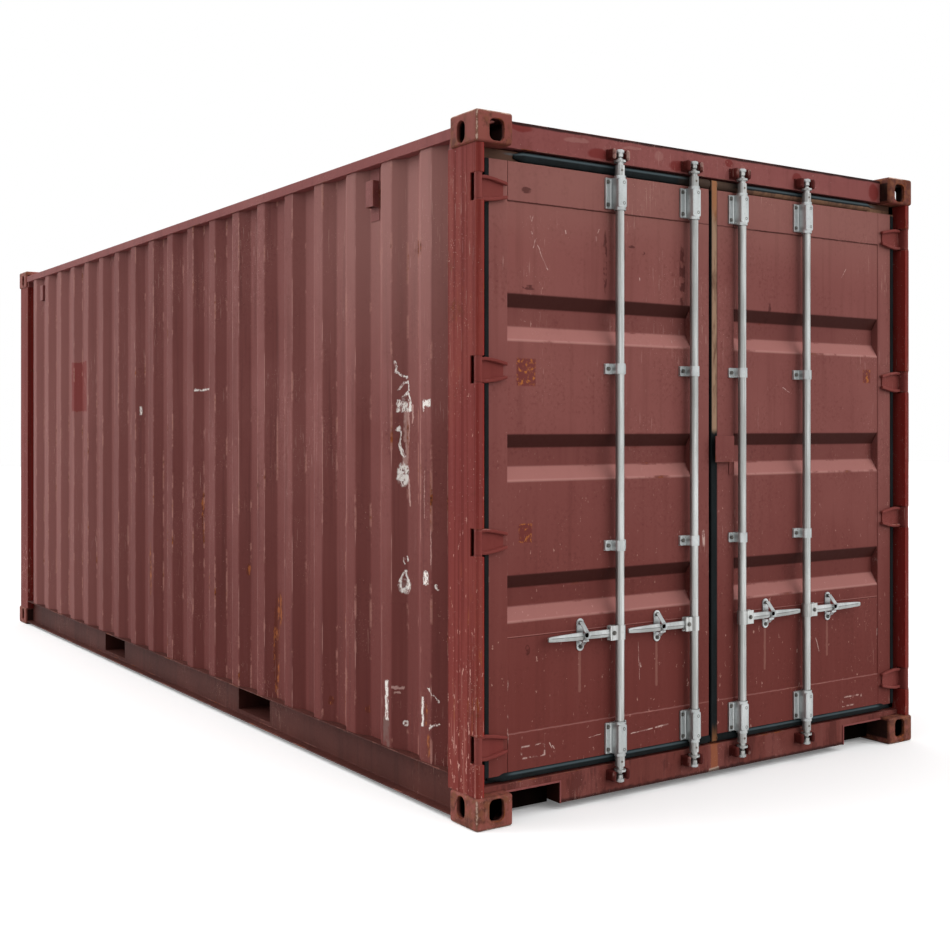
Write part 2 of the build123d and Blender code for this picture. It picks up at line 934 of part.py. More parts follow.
# Handles: a flat strap, pinched where the retainer holds it, with a tapered grip.
def handle(across, outwards):
    half = handle_half_height
    points = [
        (handle_pivot, half),
        (handle_pinch - handle_pinch_before, half),
        (handle_pinch, handle_pinch_half_height),
        (handle_pinch + handle_pinch_after, half),
        (handle_length, handle_tip_half_height),
    ]
    outline = points + [(far, -up) for far, up in reversed(points)]
    strap = make_face(Polyline(*[(outwards * far, up) for far, up in outline], close=True))
    strap += Pos(outwards * handle_pivot, 0) * Circle(handle_eye_radius)
    strap -= Pos(outwards * handle_pivot, 0) * Circle(handle_pin_radius + bar_clearance)
    strap = extrude(Plane.YZ * strap, amount=handle_thickness / 2, both=True)
    return Pos(bar_x, across, handle_height) * strap


sides = {"left": -1, "right": 1}
nodes = dict(frame)
for side_name, side in sides.items():
    for piece, shape in door.items():
        nodes[f"{side_name}_door_{piece}"] = left_of(shape) if side < 0 else shape
    for place, across in bar_offsets.items():
        nodes[f"lock_bar_{side_name}_{place}"] = lock_bar(side * across, side)
        nodes[f"handle_{side_name}_{place}"] = handle(side * across, side)
nodes["left_door_seal"] = left_seal
nodes["right_door_seal"] = right_seal
nodes["lock_plate"] = lock_plate()

for name, shape in nodes.items():
    export_step(shape, f"parts/{name}.step")
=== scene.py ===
import json
import math

import bpy
from mathutils import Matrix, Vector

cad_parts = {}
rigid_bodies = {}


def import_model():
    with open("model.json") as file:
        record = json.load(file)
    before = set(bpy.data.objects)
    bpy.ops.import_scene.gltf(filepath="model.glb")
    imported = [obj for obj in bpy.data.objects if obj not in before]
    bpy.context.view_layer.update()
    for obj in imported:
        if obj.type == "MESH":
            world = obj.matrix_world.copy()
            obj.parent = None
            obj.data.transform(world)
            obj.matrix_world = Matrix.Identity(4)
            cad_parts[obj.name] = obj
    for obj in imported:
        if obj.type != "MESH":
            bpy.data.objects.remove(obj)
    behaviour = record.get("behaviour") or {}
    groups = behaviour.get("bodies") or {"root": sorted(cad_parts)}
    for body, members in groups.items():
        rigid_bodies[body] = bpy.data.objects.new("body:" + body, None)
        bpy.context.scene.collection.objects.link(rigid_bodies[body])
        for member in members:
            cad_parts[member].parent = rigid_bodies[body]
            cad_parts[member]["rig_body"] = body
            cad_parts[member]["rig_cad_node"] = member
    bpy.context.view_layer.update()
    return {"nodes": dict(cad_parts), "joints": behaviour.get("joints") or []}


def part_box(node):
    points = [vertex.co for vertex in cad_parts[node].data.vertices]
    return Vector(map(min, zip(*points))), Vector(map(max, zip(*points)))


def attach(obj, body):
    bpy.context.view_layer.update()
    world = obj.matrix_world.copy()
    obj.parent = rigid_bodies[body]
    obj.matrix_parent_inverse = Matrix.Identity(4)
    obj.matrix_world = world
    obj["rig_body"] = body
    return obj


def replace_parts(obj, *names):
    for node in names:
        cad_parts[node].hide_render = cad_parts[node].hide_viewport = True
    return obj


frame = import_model()

# The photograph was taken from eye height off the door end's left corner,
# with a camera held level and its picture cut off lower than the lens's axis.
photo_width = 950
focal_pixels = 1290.56
horizon_row = 426.3
camera_data = bpy.data.cameras.new("camera")
camera_data.lens = camera_data.sensor_width * focal_pixels / photo_width
camera_data.shift_y = (horizon_row - photo_width / 2) / photo_width
camera_data.clip_end = 200
camera = bpy.data.objects.new("camera", camera_data)
camera.location = (6.8362, -3.8081, 1.4527)
camera.rotation_euler = (math.radians(90), 0, math.radians(90 - 34.152))
bpy.context.scene.collection.objects.link(camera)
bpy.context.scene.camera = camera
bpy.context.scene.view_settings.view_transform = "Standard"


# The studio: a white floor and background, and a soft sky with a brighter stretch to the
# left of the container and another to its right. The paint is lit by the sky alone.
class Shade:
    """A value in a material. Arithmetic on it adds the Math nodes that do the same."""

    def __init__(self, tree, socket=None):
        self.tree = tree
        self.socket = socket

    def node(self, kind, settings=None, inputs=None, output=0):
        made = self.tree.nodes.new(kind)
        for name, value in (settings or {}).items():
            setattr(made, name, value)
        for name, value in (inputs or {}).items():
            if isinstance(value, Shade):
                self.tree.links.new(value.socket, made.inputs[name])
            else:
                made.inputs[name].default_value = value
        return Shade(self.tree, made.outputs[output])

    def maths(self, operation, first, second=0.0):
        return self.node("ShaderNodeMath", {"operation": operation}, {0: first, 1: second})

    def __add__(self, other):
        return self.maths("ADD", self, other)

    def __sub__(self, other):
        return self.maths("SUBTRACT", self, other)

    def __rsub__(self, other):
        return self.maths("SUBTRACT", other, self)

    def __mul__(self, other):
        return self.maths("MULTIPLY", self, other)

    def __truediv__(self, other):
        return self.maths("DIVIDE", self, other)

    def __mod__(self, other):
        return self.maths("FLOORED_MODULO", self, other)

    def __abs__(self):
        return self.maths("ABSOLUTE", self)

    def __or__(self, other):
        return self.maths("MAXIMUM", self, other)

    __radd__ = __add__
    __rmul__ = __mul__


def fade(value, low, high):
    """0 where the value is at low, 1 where it is at high, and smooth between."""
    settings = {"interpolation_type": "SMOOTHSTEP"}
    return value.node("ShaderNodeMapRange", settings, {0: value, 1: low, 2: high})


def hexed(code):
    """A colour written as a painter's six digits, in the light that Blender adds up."""
    parts = [int(code[start:start + 2], 16) / 255 for start in (0, 2, 4)]
    return [(part / 12.92 if part < 0.04 else ((part + 0.055) / 1.055) ** 2.4) for part in parts] + [1]


def mix(mask, below, above):
    """One colour below and another above, by a mask. Either may be a painter's six digits."""
    below, above = [hexed(colour) if isinstance(colour, str) else colour for colour in (below, above)]
    return mask.node("ShaderNodeMix", {"data_type": "RGBA"}, {0: mask, 6: below, 7: above}, 2)


world = bpy.data.worlds.new("studio")
bpy.context.scene.world = world
world.use_nodes = True
sky = world.node_tree.nodes["Background"]
start = Shade(world.node_tree)
facing = start.node("ShaderNodeTexCoord", output="Generated")
sky_height = facing.node("ShaderNodeSeparateXYZ", inputs={0: facing}, output="Z")


def soft_side(towards, spread):
    """A broad bright side of the sky."""
    inputs = {0: facing, 1: Vector(towards).normalized()}
    near = facing.node("ShaderNodeVectorMath", {"operation": "DOT_PRODUCT"}, inputs, "Value")
    return fade(near, 1 - spread, 1)


def seen_ray(tree):
    """1 for the rays that show the studio itself: straight, mirrored or through glass."""
    path = Shade(tree).node("ShaderNodeLightPath").socket.node.outputs
    seen = Shade(tree, path["Is Camera Ray"]) | Shade(tree, path["Is Glossy Ray"])
    return seen | Shade(tree, path["Is Transmission Ray"])


sky_light = 0.25 + 0.50 * fade(sky_height, 0, 1) + 0.80 * fade(sky_height, 0.7, 1)
sky_light = sky_light + 3.7 * soft_side((-0.75, -0.65, 0.3), 0.35)
sky_light = sky_light + 2.5 * soft_side((0.85, 0.5, 0.35), 0.35)
seen = seen_ray(world.node_tree)
strength = sky_light * (1 - seen) + seen
world.node_tree.links.new(strength.socket, sky.inputs["Strength"])
sky.inputs["Color"].default_value = (1, 1, 1, 1)

bpy.ops.object.select_all(action="DESELECT")
bpy.ops.mesh.primitive_plane_add(size=80)
floor = bpy.context.object
floor.name = "studio_floor"
floor_paint = bpy.data.materials.new("studio_floor")
floor_paint.use_nodes = True
shader = floor_paint.node_tree.nodes["Principled BSDF"]
floor_tone = mix(seen_ray(floor_paint.node_tree), (0.24, 0.24, 0.24, 1), (0.98, 0.98, 0.98, 1))
floor_paint.node_tree.links.new(floor_tone.socket, shader.inputs["Base Color"])
floor_glow = mix(seen_ray(floor_paint.node_tree), (0, 0, 0, 1), (0.10, 0.10, 0.10, 1))
floor_paint.node_tree.links.new(floor_glow.socket, shader.inputs["Emission Color"])
shader.inputs["Emission Strength"].default_value = 1
shader.inputs["Specular IOR Level"].default_value = 0
shader.inputs["Roughness"].default_value = 1
floor.data.materials.append(floor_paint)


# Corner castings: cast steel blocks with well rounded edges, painted maroon, worn pale along
# the edges, brown with rust in patches, and with painted shade near black within the holes.
def start_edit(mode, chosen):
    """Edit mode, with the edges or polygons selected that pass a test."""
    bpy.ops.object.mode_set(mode="EDIT")
    bpy.ops.mesh.select_mode(type={"edges": "EDGE", "polygons": "FACE"}[mode])
    bpy.ops.mesh.select_all(action="DESELECT")
    bpy.ops.object.mode_set(mode="OBJECT")
    for element in getattr(bpy.context.object.data, mode):
        element.select = bool(chosen(element))
    bpy.ops.object.mode_set(mode="EDIT")


def every(element):
    return True


def bevelled(chosen, width, steps):
    """Rounds the edges of the active piece that pass a test."""
    start_edit("edges", chosen)
    bpy.ops.mesh.bevel(offset=width, segments=steps, affect="EDGES")
    bpy.ops.object.mode_set(mode="OBJECT")


def block(low, high, rounding, steps=3):
    """A block between two corners, with rounded edges."""
    bpy.ops.object.select_all(action="DESELECT")
    middle = [(a + b) / 2 for a, b in zip(low, high)]
    bpy.ops.mesh.primitive_cube_add(size=1, location=middle, scale=[b - a for a, b in zip(low, high)])
    bpy.ops.object.transform_apply(location=True, rotation=True, scale=True)
    if rounding:
        bevelled(every, rounding, steps)
    return bpy.context.object


def alone(piece):
    """Selects one piece and makes it the active one."""
    bpy.ops.object.select_all(action="DESELECT")
    piece.select_set(True)
    bpy.context.view_layer.objects.active = piece


def modified(kind, **settings):
    """Adds a modifier to the active piece and applies it."""
    bpy.ops.object.modifier_add(type=kind)
    added = bpy.context.object.modifiers[-1]
    for name, value in settings.items():
        setattr(added, name, value)
    bpy.ops.object.modifier_apply(modifier=added.name)


def joined(pieces):
    bpy.ops.object.select_all(action="DESELECT")
    for piece in pieces:
        piece.select_set(True)
    bpy.context.view_layer.objects.active = pieces[0]
    if len(pieces) > 1:
        bpy.ops.object.join()
    return bpy.context.object


def softened(name, radius, chosen=None, angle=35, steps=2, within=None):
    """A copy of a steel piece with rounded edges, in the place of the sharp one."""
    alone(frame["nodes"][name])
    bpy.ops.object.duplicate()
    piece = bpy.context.object
    piece.name = name + "_painted"
    del piece["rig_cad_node"]
    bpy.ops.mesh.customdata_custom_splitnormals_clear()
    bpy.ops.object.mode_set(mode="EDIT")
    bpy.ops.mesh.select_all(action="SELECT")
    bpy.ops.mesh.remove_doubles(threshold=0.00001)
    bpy.ops.mesh.dissolve_limited(angle_limit=math.radians(0.5))
    bpy.ops.object.mode_set(mode="OBJECT")
    mesh = piece.data
    mesh.materials.clear()
    for surface in ("flats", "edges"):
        mesh.materials.append(bpy.data.materials.new(surface))
    if within:
        modified("BOOLEAN", operation="INTERSECT", object=within)
        bpy.data.objects.remove(within)
    if chosen:
        weight = mesh.attributes.new("bevel_weight_edge", "FLOAT", "EDGE")
        for edge in mesh.edges:
            ends = [mesh.vertices[corner].co for corner in edge.vertices]
            weight.data[edge.index].value = float(chosen(*ends))
    modified("BEVEL", width=radius, segments=steps, material=1, angle_limit=math.radians(angle),
             limit_method="WEIGHT" if chosen else "ANGLE", use_clamp_overlap=not within)
    worn = mesh.attributes.new("worn", "FLOAT", "FACE")
    for face in mesh.polygons:
        worn.data[face.index].value = face.material_index
        face.material_index = 0
    mesh.materials.clear()
    shaded(piece)
    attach(piece, piece["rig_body"])
    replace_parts(piece, name)
    return piece


def shaded(piece, angle=50):
    """Smooth over rounded edges, flat on flats and crisp at the rest."""
    alone(piece)
    bpy.ops.object.shade_smooth_by_angle(angle=math.radians(angle))
    modified("WEIGHTED_NORMAL", keep_sharp=True)


def axes_of(place):
    """The three coordinates of a place, each as a value."""
    split = place.node("ShaderNodeSeparateXYZ", inputs={0: place}).socket.node
    return [Shade(place.tree, split.outputs[axis]) for axis in "XYZ"]


def noise(place, scale, detail=2, stretch=(1, 1, 1), rough=0.55):
    """Cloudy noise from 0 to 1, drawn out along the axes whose stretch is small."""
    settings = {"operation": "MULTIPLY"}
    drawn = place.node("ShaderNodeVectorMath", settings, {0: place, 1: stretch})
    inputs = {"Vector": drawn, "Scale": scale, "Detail": detail, "Roughness": rough}
    return place.node("ShaderNodeTexNoise", inputs=inputs)


def streaky(place, stretch, low, high, detail=3, rough=0.55):
    """Specks or streaks: 0 to 1 where noise with this stretch goes from low to high."""
    return fade(noise(place, 1, detail, stretch, rough), low, high)


def inside(value, low, high, soft=0.004):
    """1 between two limits."""
    return fade(value, low - soft, low + soft) * fade(value, high + soft, high - soft)


def oval(across, up, centre, reach):
    """1 inside an oval, fading at its rim."""
    right = (across - centre[0]) / reach[0]
    above = (up - centre[1]) / reach[1]
    return fade(right * right + above * above, 1.3, 0.6)


def blank_material(name):
    """A new material, its shader, and the places on a piece."""
    material = bpy.data.materials.new(name)
    material.use_nodes = True
    shader = material.node_tree.nodes["Principled BSDF"]
    return material, shader, Shade(material.node_tree).node("ShaderNodeTexCoord", output="Object")


def wired(shader, tone, roughness, relief, strength, depth):
    """Feeds a shader its colour, roughness and relief."""
    inputs = {"Height": relief, "Strength": strength, "Distance": depth}
    bump = tone.node("ShaderNodeBump", inputs=inputs)
    for name, value in (("Base Color", tone), ("Roughness", roughness), ("Normal", bump)):
        tone.tree.links.new(value.socket, shader.inputs[name])


def old_paint(name, colour, faded, foot=None, rust=0.3, scratches=0.5, streaks=0.4, wear="a8766c",
              marks=None, painted_shade=None):
    """Sprayed paint after years outdoors: clouded, streaked, scratched, chipped and rusting, darker
    towards the foot as dirt and painted shade, with any painted shade given laid on last.
    """
    paint, shader, place = blank_material(name)
    height = axes_of(place)[2]
    edge = place.node("ShaderNodeAttribute", {"attribute_name": "worn"}, output="Fac")
    cloud = noise(place, 1.9, 4)
    runs = noise(place, 1, 3, (26, 26, 1.1))
    grain = noise(place, 70, 3)
    patch = noise(place, 5.5, 5, rough=0.65)
    tone = mix(fade(cloud, 0.3, 0.7), colour, faded)
    # Darker towards the foot: dirt, and painted shade where the ground takes away light.
    if foot:
        tone = mix(fade(height + 0.5 * cloud, 1.9, 0.5), tone, foot)
    dark = [0.72 * part for part in hexed(foot or colour)[:3]] + [1]
    tone = mix(streaks * fade(runs, 0.5, 0.75), tone, dark)
    tone = mix(0.35 * streaks * fade(runs, 0.48, 0.25), tone, faded)
    tone = mix(0.5 * fade(grain, 0.45, 0.8) * fade(patch, 0.4, 0.6), tone, dark)
    if marks:
        tone = marks(place, tone)
    if scratches:
        fine = noise(place, 1, 1, (300, 300, 9))
        turned = place.node("ShaderNodeMapping", inputs={"Vector": place, "Rotation": (0.6, 0.7, 0.9)})
        slanted = noise(turned, 1, 1, (240, 240, 10))
        torn = fade(fine, 0.70, 0.74) | fade(slanted, 0.71, 0.75)
        torn = torn * fade(cloud + 0.3 * patch, 0.72 - 0.12 * scratches, 0.78)
        specks = fade(noise(place, 120, 1), 0.72, 0.76) * fade(patch, 0.50, 0.62)
        tone = mix(0.8 * (torn | scratches * specks), tone, "b08a80")
    chipped = fade(edge * (0.45 + patch), 0.98, 1.08)
    tone = mix(0.7 * chipped, tone, wear)
    rusted = fade(patch + 0.12 * edge + 0.05 * grain, 0.80 - 0.22 * rust, 0.90 - 0.22 * rust)
    stained = fade(patch + 0.10 * edge, 0.70 - 0.22 * rust, 0.86 - 0.22 * rust)
    tone = mix(0.55 * stained, tone, "5c2a1c")
    tone = mix(rusted, tone, mix(fade(grain, 0.35, 0.65), "4a2116", "8a4a24"))
    # Painted shade, such as in holes and folds, laid over all else.
    if painted_shade:
        tone = painted_shade(place, tone)
    relief = 0.6 * grain + 1.2 * patch - 0.8 * rusted
    wired(shader, tone, 0.52 + 0.2 * grain + 0.22 * rusted, relief, 0.25, 0.002)
    shader.inputs["Specular IOR Level"].default_value = 0.08
    return paint


def dressed(piece, paint):
    """Gives a piece its paint."""
    piece.data.materials.clear()
    piece.data.materials.append(paint)
    "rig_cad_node" not in piece


def casting_marks(place, tone):
    """Brown patches where the paint has gone to primer and rust, and edges rubbed pale."""
    along, across, height = axes_of(place)
    patches = noise(place, 9, 5, rough=0.7) + 0.10 * fade(across, 0.5, 0.9) + 0.04 * fade(height, 0.3, 0.1)
    rusty = mix(fade(noise(place, 40, 3), 0.4, 0.6), "482a20", "74492f")
    tone = mix(0.7 * fade(patches, 0.48, 0.62), tone, rusty)
    reaches = ((abs(along), casting_end), (abs(across), casting_side),
               (abs(height - casting_top / 2), casting_top / 2))
    faces = [fade(reach, limit - 0.018, limit - 0.003) for reach, limit in reaches]
    rims = faces[0] * faces[1] | faces[1] * faces[2] | faces[0] * faces[2]
    worn = noise(place, 28, 5, rough=0.8)
    tone = mix(0.6 * fade(rims * (0.2 + worn), 0.42, 0.62), tone, "7c5a48")
    return mix(0.8 * fade(rims * (0.2 + worn), 0.62, 0.74), tone, "c9aa9b")


# Painted shade: the insides of the holes, near black.
def casting_hole_shade(place, tone):
    along, across, height = axes_of(place)
    level = abs(height - casting_top / 2)
    deep = fade(abs(along), casting_end - 0.007, casting_end - 0.016)
    deep = deep * fade(abs(across), casting_side - 0.007, casting_side - 0.016)
    deep = deep * inside(level, casting_top / 2 - 0.108, casting_top / 2 - 0.026)
    return mix(0.9 * deep, tone, "150a09")


casting_end, casting_side, casting_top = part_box("corner_castings")[1]
casting_length = 0.178
casting_width = 0.162
casting_height = 0.118
rounded = []
for back in (-casting_end, casting_end - casting_length):
    for left in (-casting_side, casting_side - casting_width):
        for foot in (0, casting_top - casting_height):
            high = (back + casting_length, left + casting_width, foot + casting_height)
            rounded.append(block((back, left, foot), high, 0.011, 4))
casting_paint = old_paint("casting_paint", "7f423a", "8f5249", rust=0.8, scratches=1.2, streaks=0.6,
                          wear="b48b7c", marks=casting_marks, painted_shade=casting_hole_shade)
castings = softened("corner_castings", 0.003, angle=50, within=joined(rounded))
dressed(castings, casting_paint)


# Corner posts: folded plate with a rounded outer corner, in a redder repaint that has run
# and worn in upright streaks. The lugs and pins of the hinges sit inside their notches.
def post_marks(place, tone):
    """Bright and dark red runs, long light scrapes near the foot, and rust below each hinge."""
    across, height = axes_of(place)[1:]
    bands = noise(place, 1, 2, (55, 55, 0.5))
    tone = mix(0.8 * fade(bands, 0.50, 0.62), tone, "66201c")
    tone = mix(0.15 * fade(bands, 0.44, 0.34), tone, "8d5451")
    low = fade(height, 1.0, 0.3)
    scrapes = streaky(place, (210, 210, 2.6), 0.66, 0.72, 1)
    scrapes = scrapes * fade(noise(place, 1.7, 2) + 0.20 * low, 0.62, 0.72)
    tone = mix(0.7 * scrapes, tone, "b9857a")
    flecks = fade(noise(place, 1, 3, (75, 75, 22), rough=0.75) + 0.05 * low, 0.66, 0.69)
    tone = mix(0.8 * flecks * fade(height, 2.2, 0.9), tone, "cfa094")
    rusty = streaky(place, (60, 60, 7), 0.60, 0.70, 4) * fade(noise(place, 2.3, 2), 0.50, 0.62)
    tone = mix(0.8 * rusty, tone, "8a4526")
    return mix(0.7 * fade(abs(across), post_inner + 0.019, post_inner + 0.012), tone, "8f2c27")


post_inner = 1.170
post_paint = old_paint("post_paint", "762e2a", "80382f", rust=0.45, scratches=1.1, streaks=0.4,
                       wear="a5604c", marks=post_marks)
for node in ("door_post_left", "door_post_right", "end_post_left", "end_post_right"):
    dressed(softened(node, 0.002), post_paint)
dressed(frame["nodes"]["hinge_lugs"], post_paint)


def bare(name, colour, light, roughness=0.45, metal=1.0, spots="6d6c68", marks=None, shine=0.5):
    """Bare steel, rubber or wood, dulled in patches and faintly rough."""
    material, shader, place = blank_material(name)
    cloud = noise(place, 14, 4, (1, 1, 0.3))
    grain = noise(place, 130, 3)
    tone = mix(fade(cloud, 0.35, 0.65), colour, light)
    tone = mix(0.4 * fade(grain, 0.55, 0.75), tone, spots)
    if marks:
        tone = marks(place, tone)
    wired(shader, tone, roughness + 0.2 * cloud, grain + cloud, 0.1, 0.001)
    shader.inputs["Metallic"].default_value = metal
    shader.inputs["Specular IOR Level"].default_value = shine
    return material


pin_steel = bare("pin_steel", "6a625c", "857c74")
dressed(frame["nodes"]["hinge_pins"], pin_steel)


# Header and sill: box sections welded between the castings. The closed end has the same
# in plainer form. The header has been touched up in darker red, and the sill is stained,
# with a painted shadow along its foot.
def marked(shape, across, up, places):
    """1 inside any of a row of shapes of one kind."""
    masks = [shape(across, up, *place) for place in places]
    total = masks[0]
    for mask in masks[1:]:
        total = total | mask
    return total


def header_marks(place, tone):
    along, across, height = axes_of(place)
    wobble = 0.03 * (noise(place, 9, 4) - 0.5)
    touched = marked(oval, across + wobble, height + wobble, header_repaints)
    tone = mix(0.8 * touched, tone, "702522")
    tone = mix(0.5 * marked(oval, across + wobble, height + wobble, header_fades), tone, "9a6a64")
    edge = fade(height + 0.4 * wobble, header_top - 0.015, header_top - 0.008)
    edge = edge * fade(abs(along), header_front - 0.012, header_front - 0.004)
    return mix(0.9 * edge, tone, "1b0d0c")


def sill_marks(place, tone):
    """Stains that run down, an orange run below the doors' meeting, and a painted shadow along the foot.
    """
    across, height = axes_of(place)[1:]
    stains = streaky(place, (14, 14, 4), 0.50, 0.62, 4, 0.7)
    tone = mix(0.4 * streaky(place, (9, 9, 1), 0.50, 0.58, 2), tone, "824c47")
    tone = mix(0.6 * stains, tone, "4c231f")
    wobble = 0.02 * (noise(place, 30, 3) - 0.5)
    tone = mix(0.8 * inside(across + wobble, -0.014, 0.024, 0.004), tone, "94573a")
    spots = fade(height + wobble, sill_foot + 0.02, sill_foot + 0.012)
    spots = inside(across + wobble, -0.022, 0.030) * spots
    tone = mix(0.8 * spots, tone, "cdb6a6")
    # Painted shadow: a near-black band along the sill's foot, where it meets the ground.
    return mix(0.8 * fade(height + wobble, sill_foot + 0.018, sill_foot + 0.006), tone, "24110f")


header_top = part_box("door_header")[1][2]
header_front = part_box("door_header")[1][0]
header_repaints = [((-0.985, 2.560), (0.055, 0.016)), ((-0.61, 2.505), (0.055, 0.022)),
                   ((-0.20, 2.505), (0.045, 0.022)), ((0.09, 2.550), (0.025, 0.016)),
                   ((0.50, 2.530), (0.030, 0.022)), ((1.01, 2.520), (0.035, 0.040))]
header_fades = [((-0.72, 2.545), (0.060, 0.010)), ((-0.30, 2.535), (0.022, 0.020)),
                ((0.175, 2.530), (0.018, 0.022)), ((-0.44, 2.548), (0.050, 0.006))]
header_paint = old_paint("header_paint", "7f4442", "894f4c", rust=0.25, scratches=0.6, streaks=0.4,
                         marks=header_marks)
for node in ("door_header", "end_header"):
    dressed(softened(node, 0.003), header_paint)
sill_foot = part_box("door_sill")[0][2]
sill_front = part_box("door_sill")[1][0]
sill_paint = old_paint("sill_paint", "67322c", "733e38", rust=0.5, scratches=0.8, streaks=0.5,
                       marks=sill_marks)
dressed(softened("door_sill", 0.003), sill_paint)
dressed(softened("end_sill", 0.003), sill_paint)

# Each recess in the sill is lined with plates: a back painted near black and an end painted
# dark brown, both as painted shade inside the recess, and a thin ledge round its mouth.
recess_inner = 0.805
recess_outer = 1.057
recess_top = 0.108
recess_back = 2.897


def fitted(piece, name, body, paint, smooth=35):
    """Names a new piece, smooths it, and fastens it to the body that carries it."""
    piece.name = name
    shaded(piece, smooth)
    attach(piece, body)
    dressed(piece, paint)
    return piece


def block_beside(side, low, high, rounding, steps=3):
    """A block on the left (-1) or right (1), between corners given as on the right."""
    sides = sorted((side * low[1], side * high[1]))
    return block((low[0], sides[0], low[2]), (high[0], sides[1], high[2]), rounding, steps)


# Near black and dark brown that stand for the shade in hollows: painted shade.
grime = bare("grime", "080504", "0e0706", 0.9, 0, "120908", shine=0)
dark_ends = bare("dark_ends", "331a15", "432419", 0.9, 0, "1d100d", shine=0)
ledge_back = sill_front - 0.02
ledge_front = sill_front + 0.004
ledge_top = recess_top + 0.006
linings = {"recess_backs": [((recess_back, recess_inner, 0.016),
                             (recess_back + 0.004, recess_outer, 0.110))],
           "recess_ends": [((recess_back - 0.06, recess_inner - 0.005, sill_foot),
                            (sill_front, recess_inner + 0.001, recess_top))],
           "recess_ledges": [((ledge_back, recess_inner, recess_top - 0.001),
                              (ledge_front, recess_outer, ledge_top)),
                             ((ledge_back, recess_inner - 0.007, sill_foot),
                              (ledge_front, recess_inner, ledge_top))]}
for (name, corners), paint in zip(linings.items(), (grime, dark_ends, header_paint)):
    plates = [block_beside(side, *pair, 0.0015, 2) for side in (-1, 1) for pair in corners]
    fitted(joined(plates), name, "frame", paint)

# Side walls and closed end: sheet folded into upright ridges and welded to the rails.
# The ridges' door sides and valleys carry painted shade, and their bends carry scrapes and a painted
# highlight.
wall_pitch = 0.296
ridge_half = 0.038
slope_foot = 0.108
wall_reach = max(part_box("side_wall_left")[1])


def upright_fold(first, second):
    return abs(first.z - second.z) > 1 and max(abs(first.x), abs(second.x)) < wall_reach - 0.001


def nearest(value, pitch):
    """How far a value is past the nearest of the places that repeat at a pitch."""
    return (value + pitch / 2) % pitch - pitch / 2


def fold_shade_and_bend_lines(place, tone):
    """Painted shade on each ridge's door side and in the valleys, and scrapes with a painted highlight
    along its bends.
    """
    across = nearest(axes_of(place)[0], wall_pitch)
    # Painted shade on the slopes that face the doors and in the valleys.
    tone = mix(0.25 * inside(across, ridge_half, slope_foot, 0.006), tone, "5a302d")
    tone = mix(0.12 * fade(abs(across), slope_foot - 0.01, slope_foot + 0.01), tone, "5e3431")
    # Pale dashes along both bends of each ridge: scrapes, and a painted highlight.
    dashes = streaky(place, (9, 9, 3.2), 0.50, 0.62, rough=0.7)
    near_bend = inside(across, -ridge_half - 0.003, -ridge_half + 0.001, 0.002)
    far_bend = inside(across, ridge_half - 0.002, ridge_half + 0.002, 0.002)
    return mix(0.6 * dashes * (near_bend | far_bend), tone, "b98d84")


def stroke(across, up, start, end, width):
    """1 along a straight stroke between two places, fading at its sides."""
    run = (end[0] - start[0], end[1] - start[1])
    right = across - start[0]
    above = up - start[1]
    share = (run[0] * right + run[1] * above) / (run[0] ** 2 + run[1] ** 2) | 0.0
    share = share.maths("MINIMUM", share, 1.0)
    right = right - run[0] * share
    above = above - run[1] * share
    return fade(right * right + above * above, (1.3 * width) ** 2, (0.6 * width) ** 2)


def patch_of(across, up, side, heights):
    return inside(across, *side, 0.003) * inside(up, *heights, 0.003)


# Places on the left wall, along it and up it, in metres.
label_patches = [((2.429, 2.501), (1.509, 1.557)), ((2.645, 2.700), (1.528, 1.553)),
                 ((2.650, 2.682), (0.849, 0.902)), ((2.359, 2.384), (0.280, 0.437)),
                 ((2.637, 2.650), (0.310, 0.420)), ((0.345, 0.52), (1.640, 1.649)),
                 ((-0.522, -0.508), (1.52, 1.57))]
label_ovals = [((2.456, 1.262), (0.026, 0.047)), ((2.437, 1.442), (0.010, 0.010)),
               ((2.466, 0.822), (0.030, 0.028)), ((2.466, 0.279), (0.013, 0.012)),
               ((2.690, 0.452), (0.006, 0.008)), ((2.696, 0.313), (0.007, 0.009))]
label_strokes = [((2.423, 1.713), (2.428, 1.672), 0.004), ((2.428, 1.672), (2.470, 1.645), 0.005),
                 ((2.440, 1.601), (2.458, 1.623), 0.004), ((2.458, 1.623), (2.477, 1.628), 0.004),
                 ((2.477, 1.628), (2.487, 1.600), 0.004), ((2.456, 1.567), (2.477, 1.587), 0.006),
                 ((2.477, 1.587), (2.491, 1.561), 0.006), ((2.646, 1.535), (2.650, 1.514), 0.004),
                 ((2.447, 1.431), (2.443, 1.385), 0.003), ((2.443, 1.385), (2.449, 1.345), 0.006),
                 ((2.449, 1.345), (2.462, 1.333), 0.004), ((2.461, 0.879), (2.441, 0.838), 0.004),
                 ((2.466, 0.879), (2.488, 0.838), 0.004), ((2.458, 0.932), (2.463, 0.911), 0.003),
                 ((2.472, 0.938), (2.478, 0.925), 0.003), ((2.680, 0.462), (2.735, 0.413), 0.002),
                 ((2.696, 0.313), (2.735, 0.328), 0.003), ((2.720, 0.852), (2.732, 0.838), 0.003)]
label_drips = [((2.655, 1.10), (2.655, 1.28), 0.0015), ((2.700, 0.93), (2.700, 1.06), 0.002),
               ((2.474, 1.507), (2.472, 1.400), 0.014), ((2.472, 1.400), (2.470, 1.345), 0.008),
               ((2.510, 1.532), (2.515, 1.490), 0.007), ((2.515, 1.490), (2.506, 1.465), 0.004),
               ((2.466, 1.335), (2.464, 1.305), 0.012), ((2.480, 1.251), (2.492, 1.144), 0.006),
               ((2.41, 0.418), (2.455, 0.418), 0.005), ((2.42, 0.395), (2.445, 0.400), 0.004)]
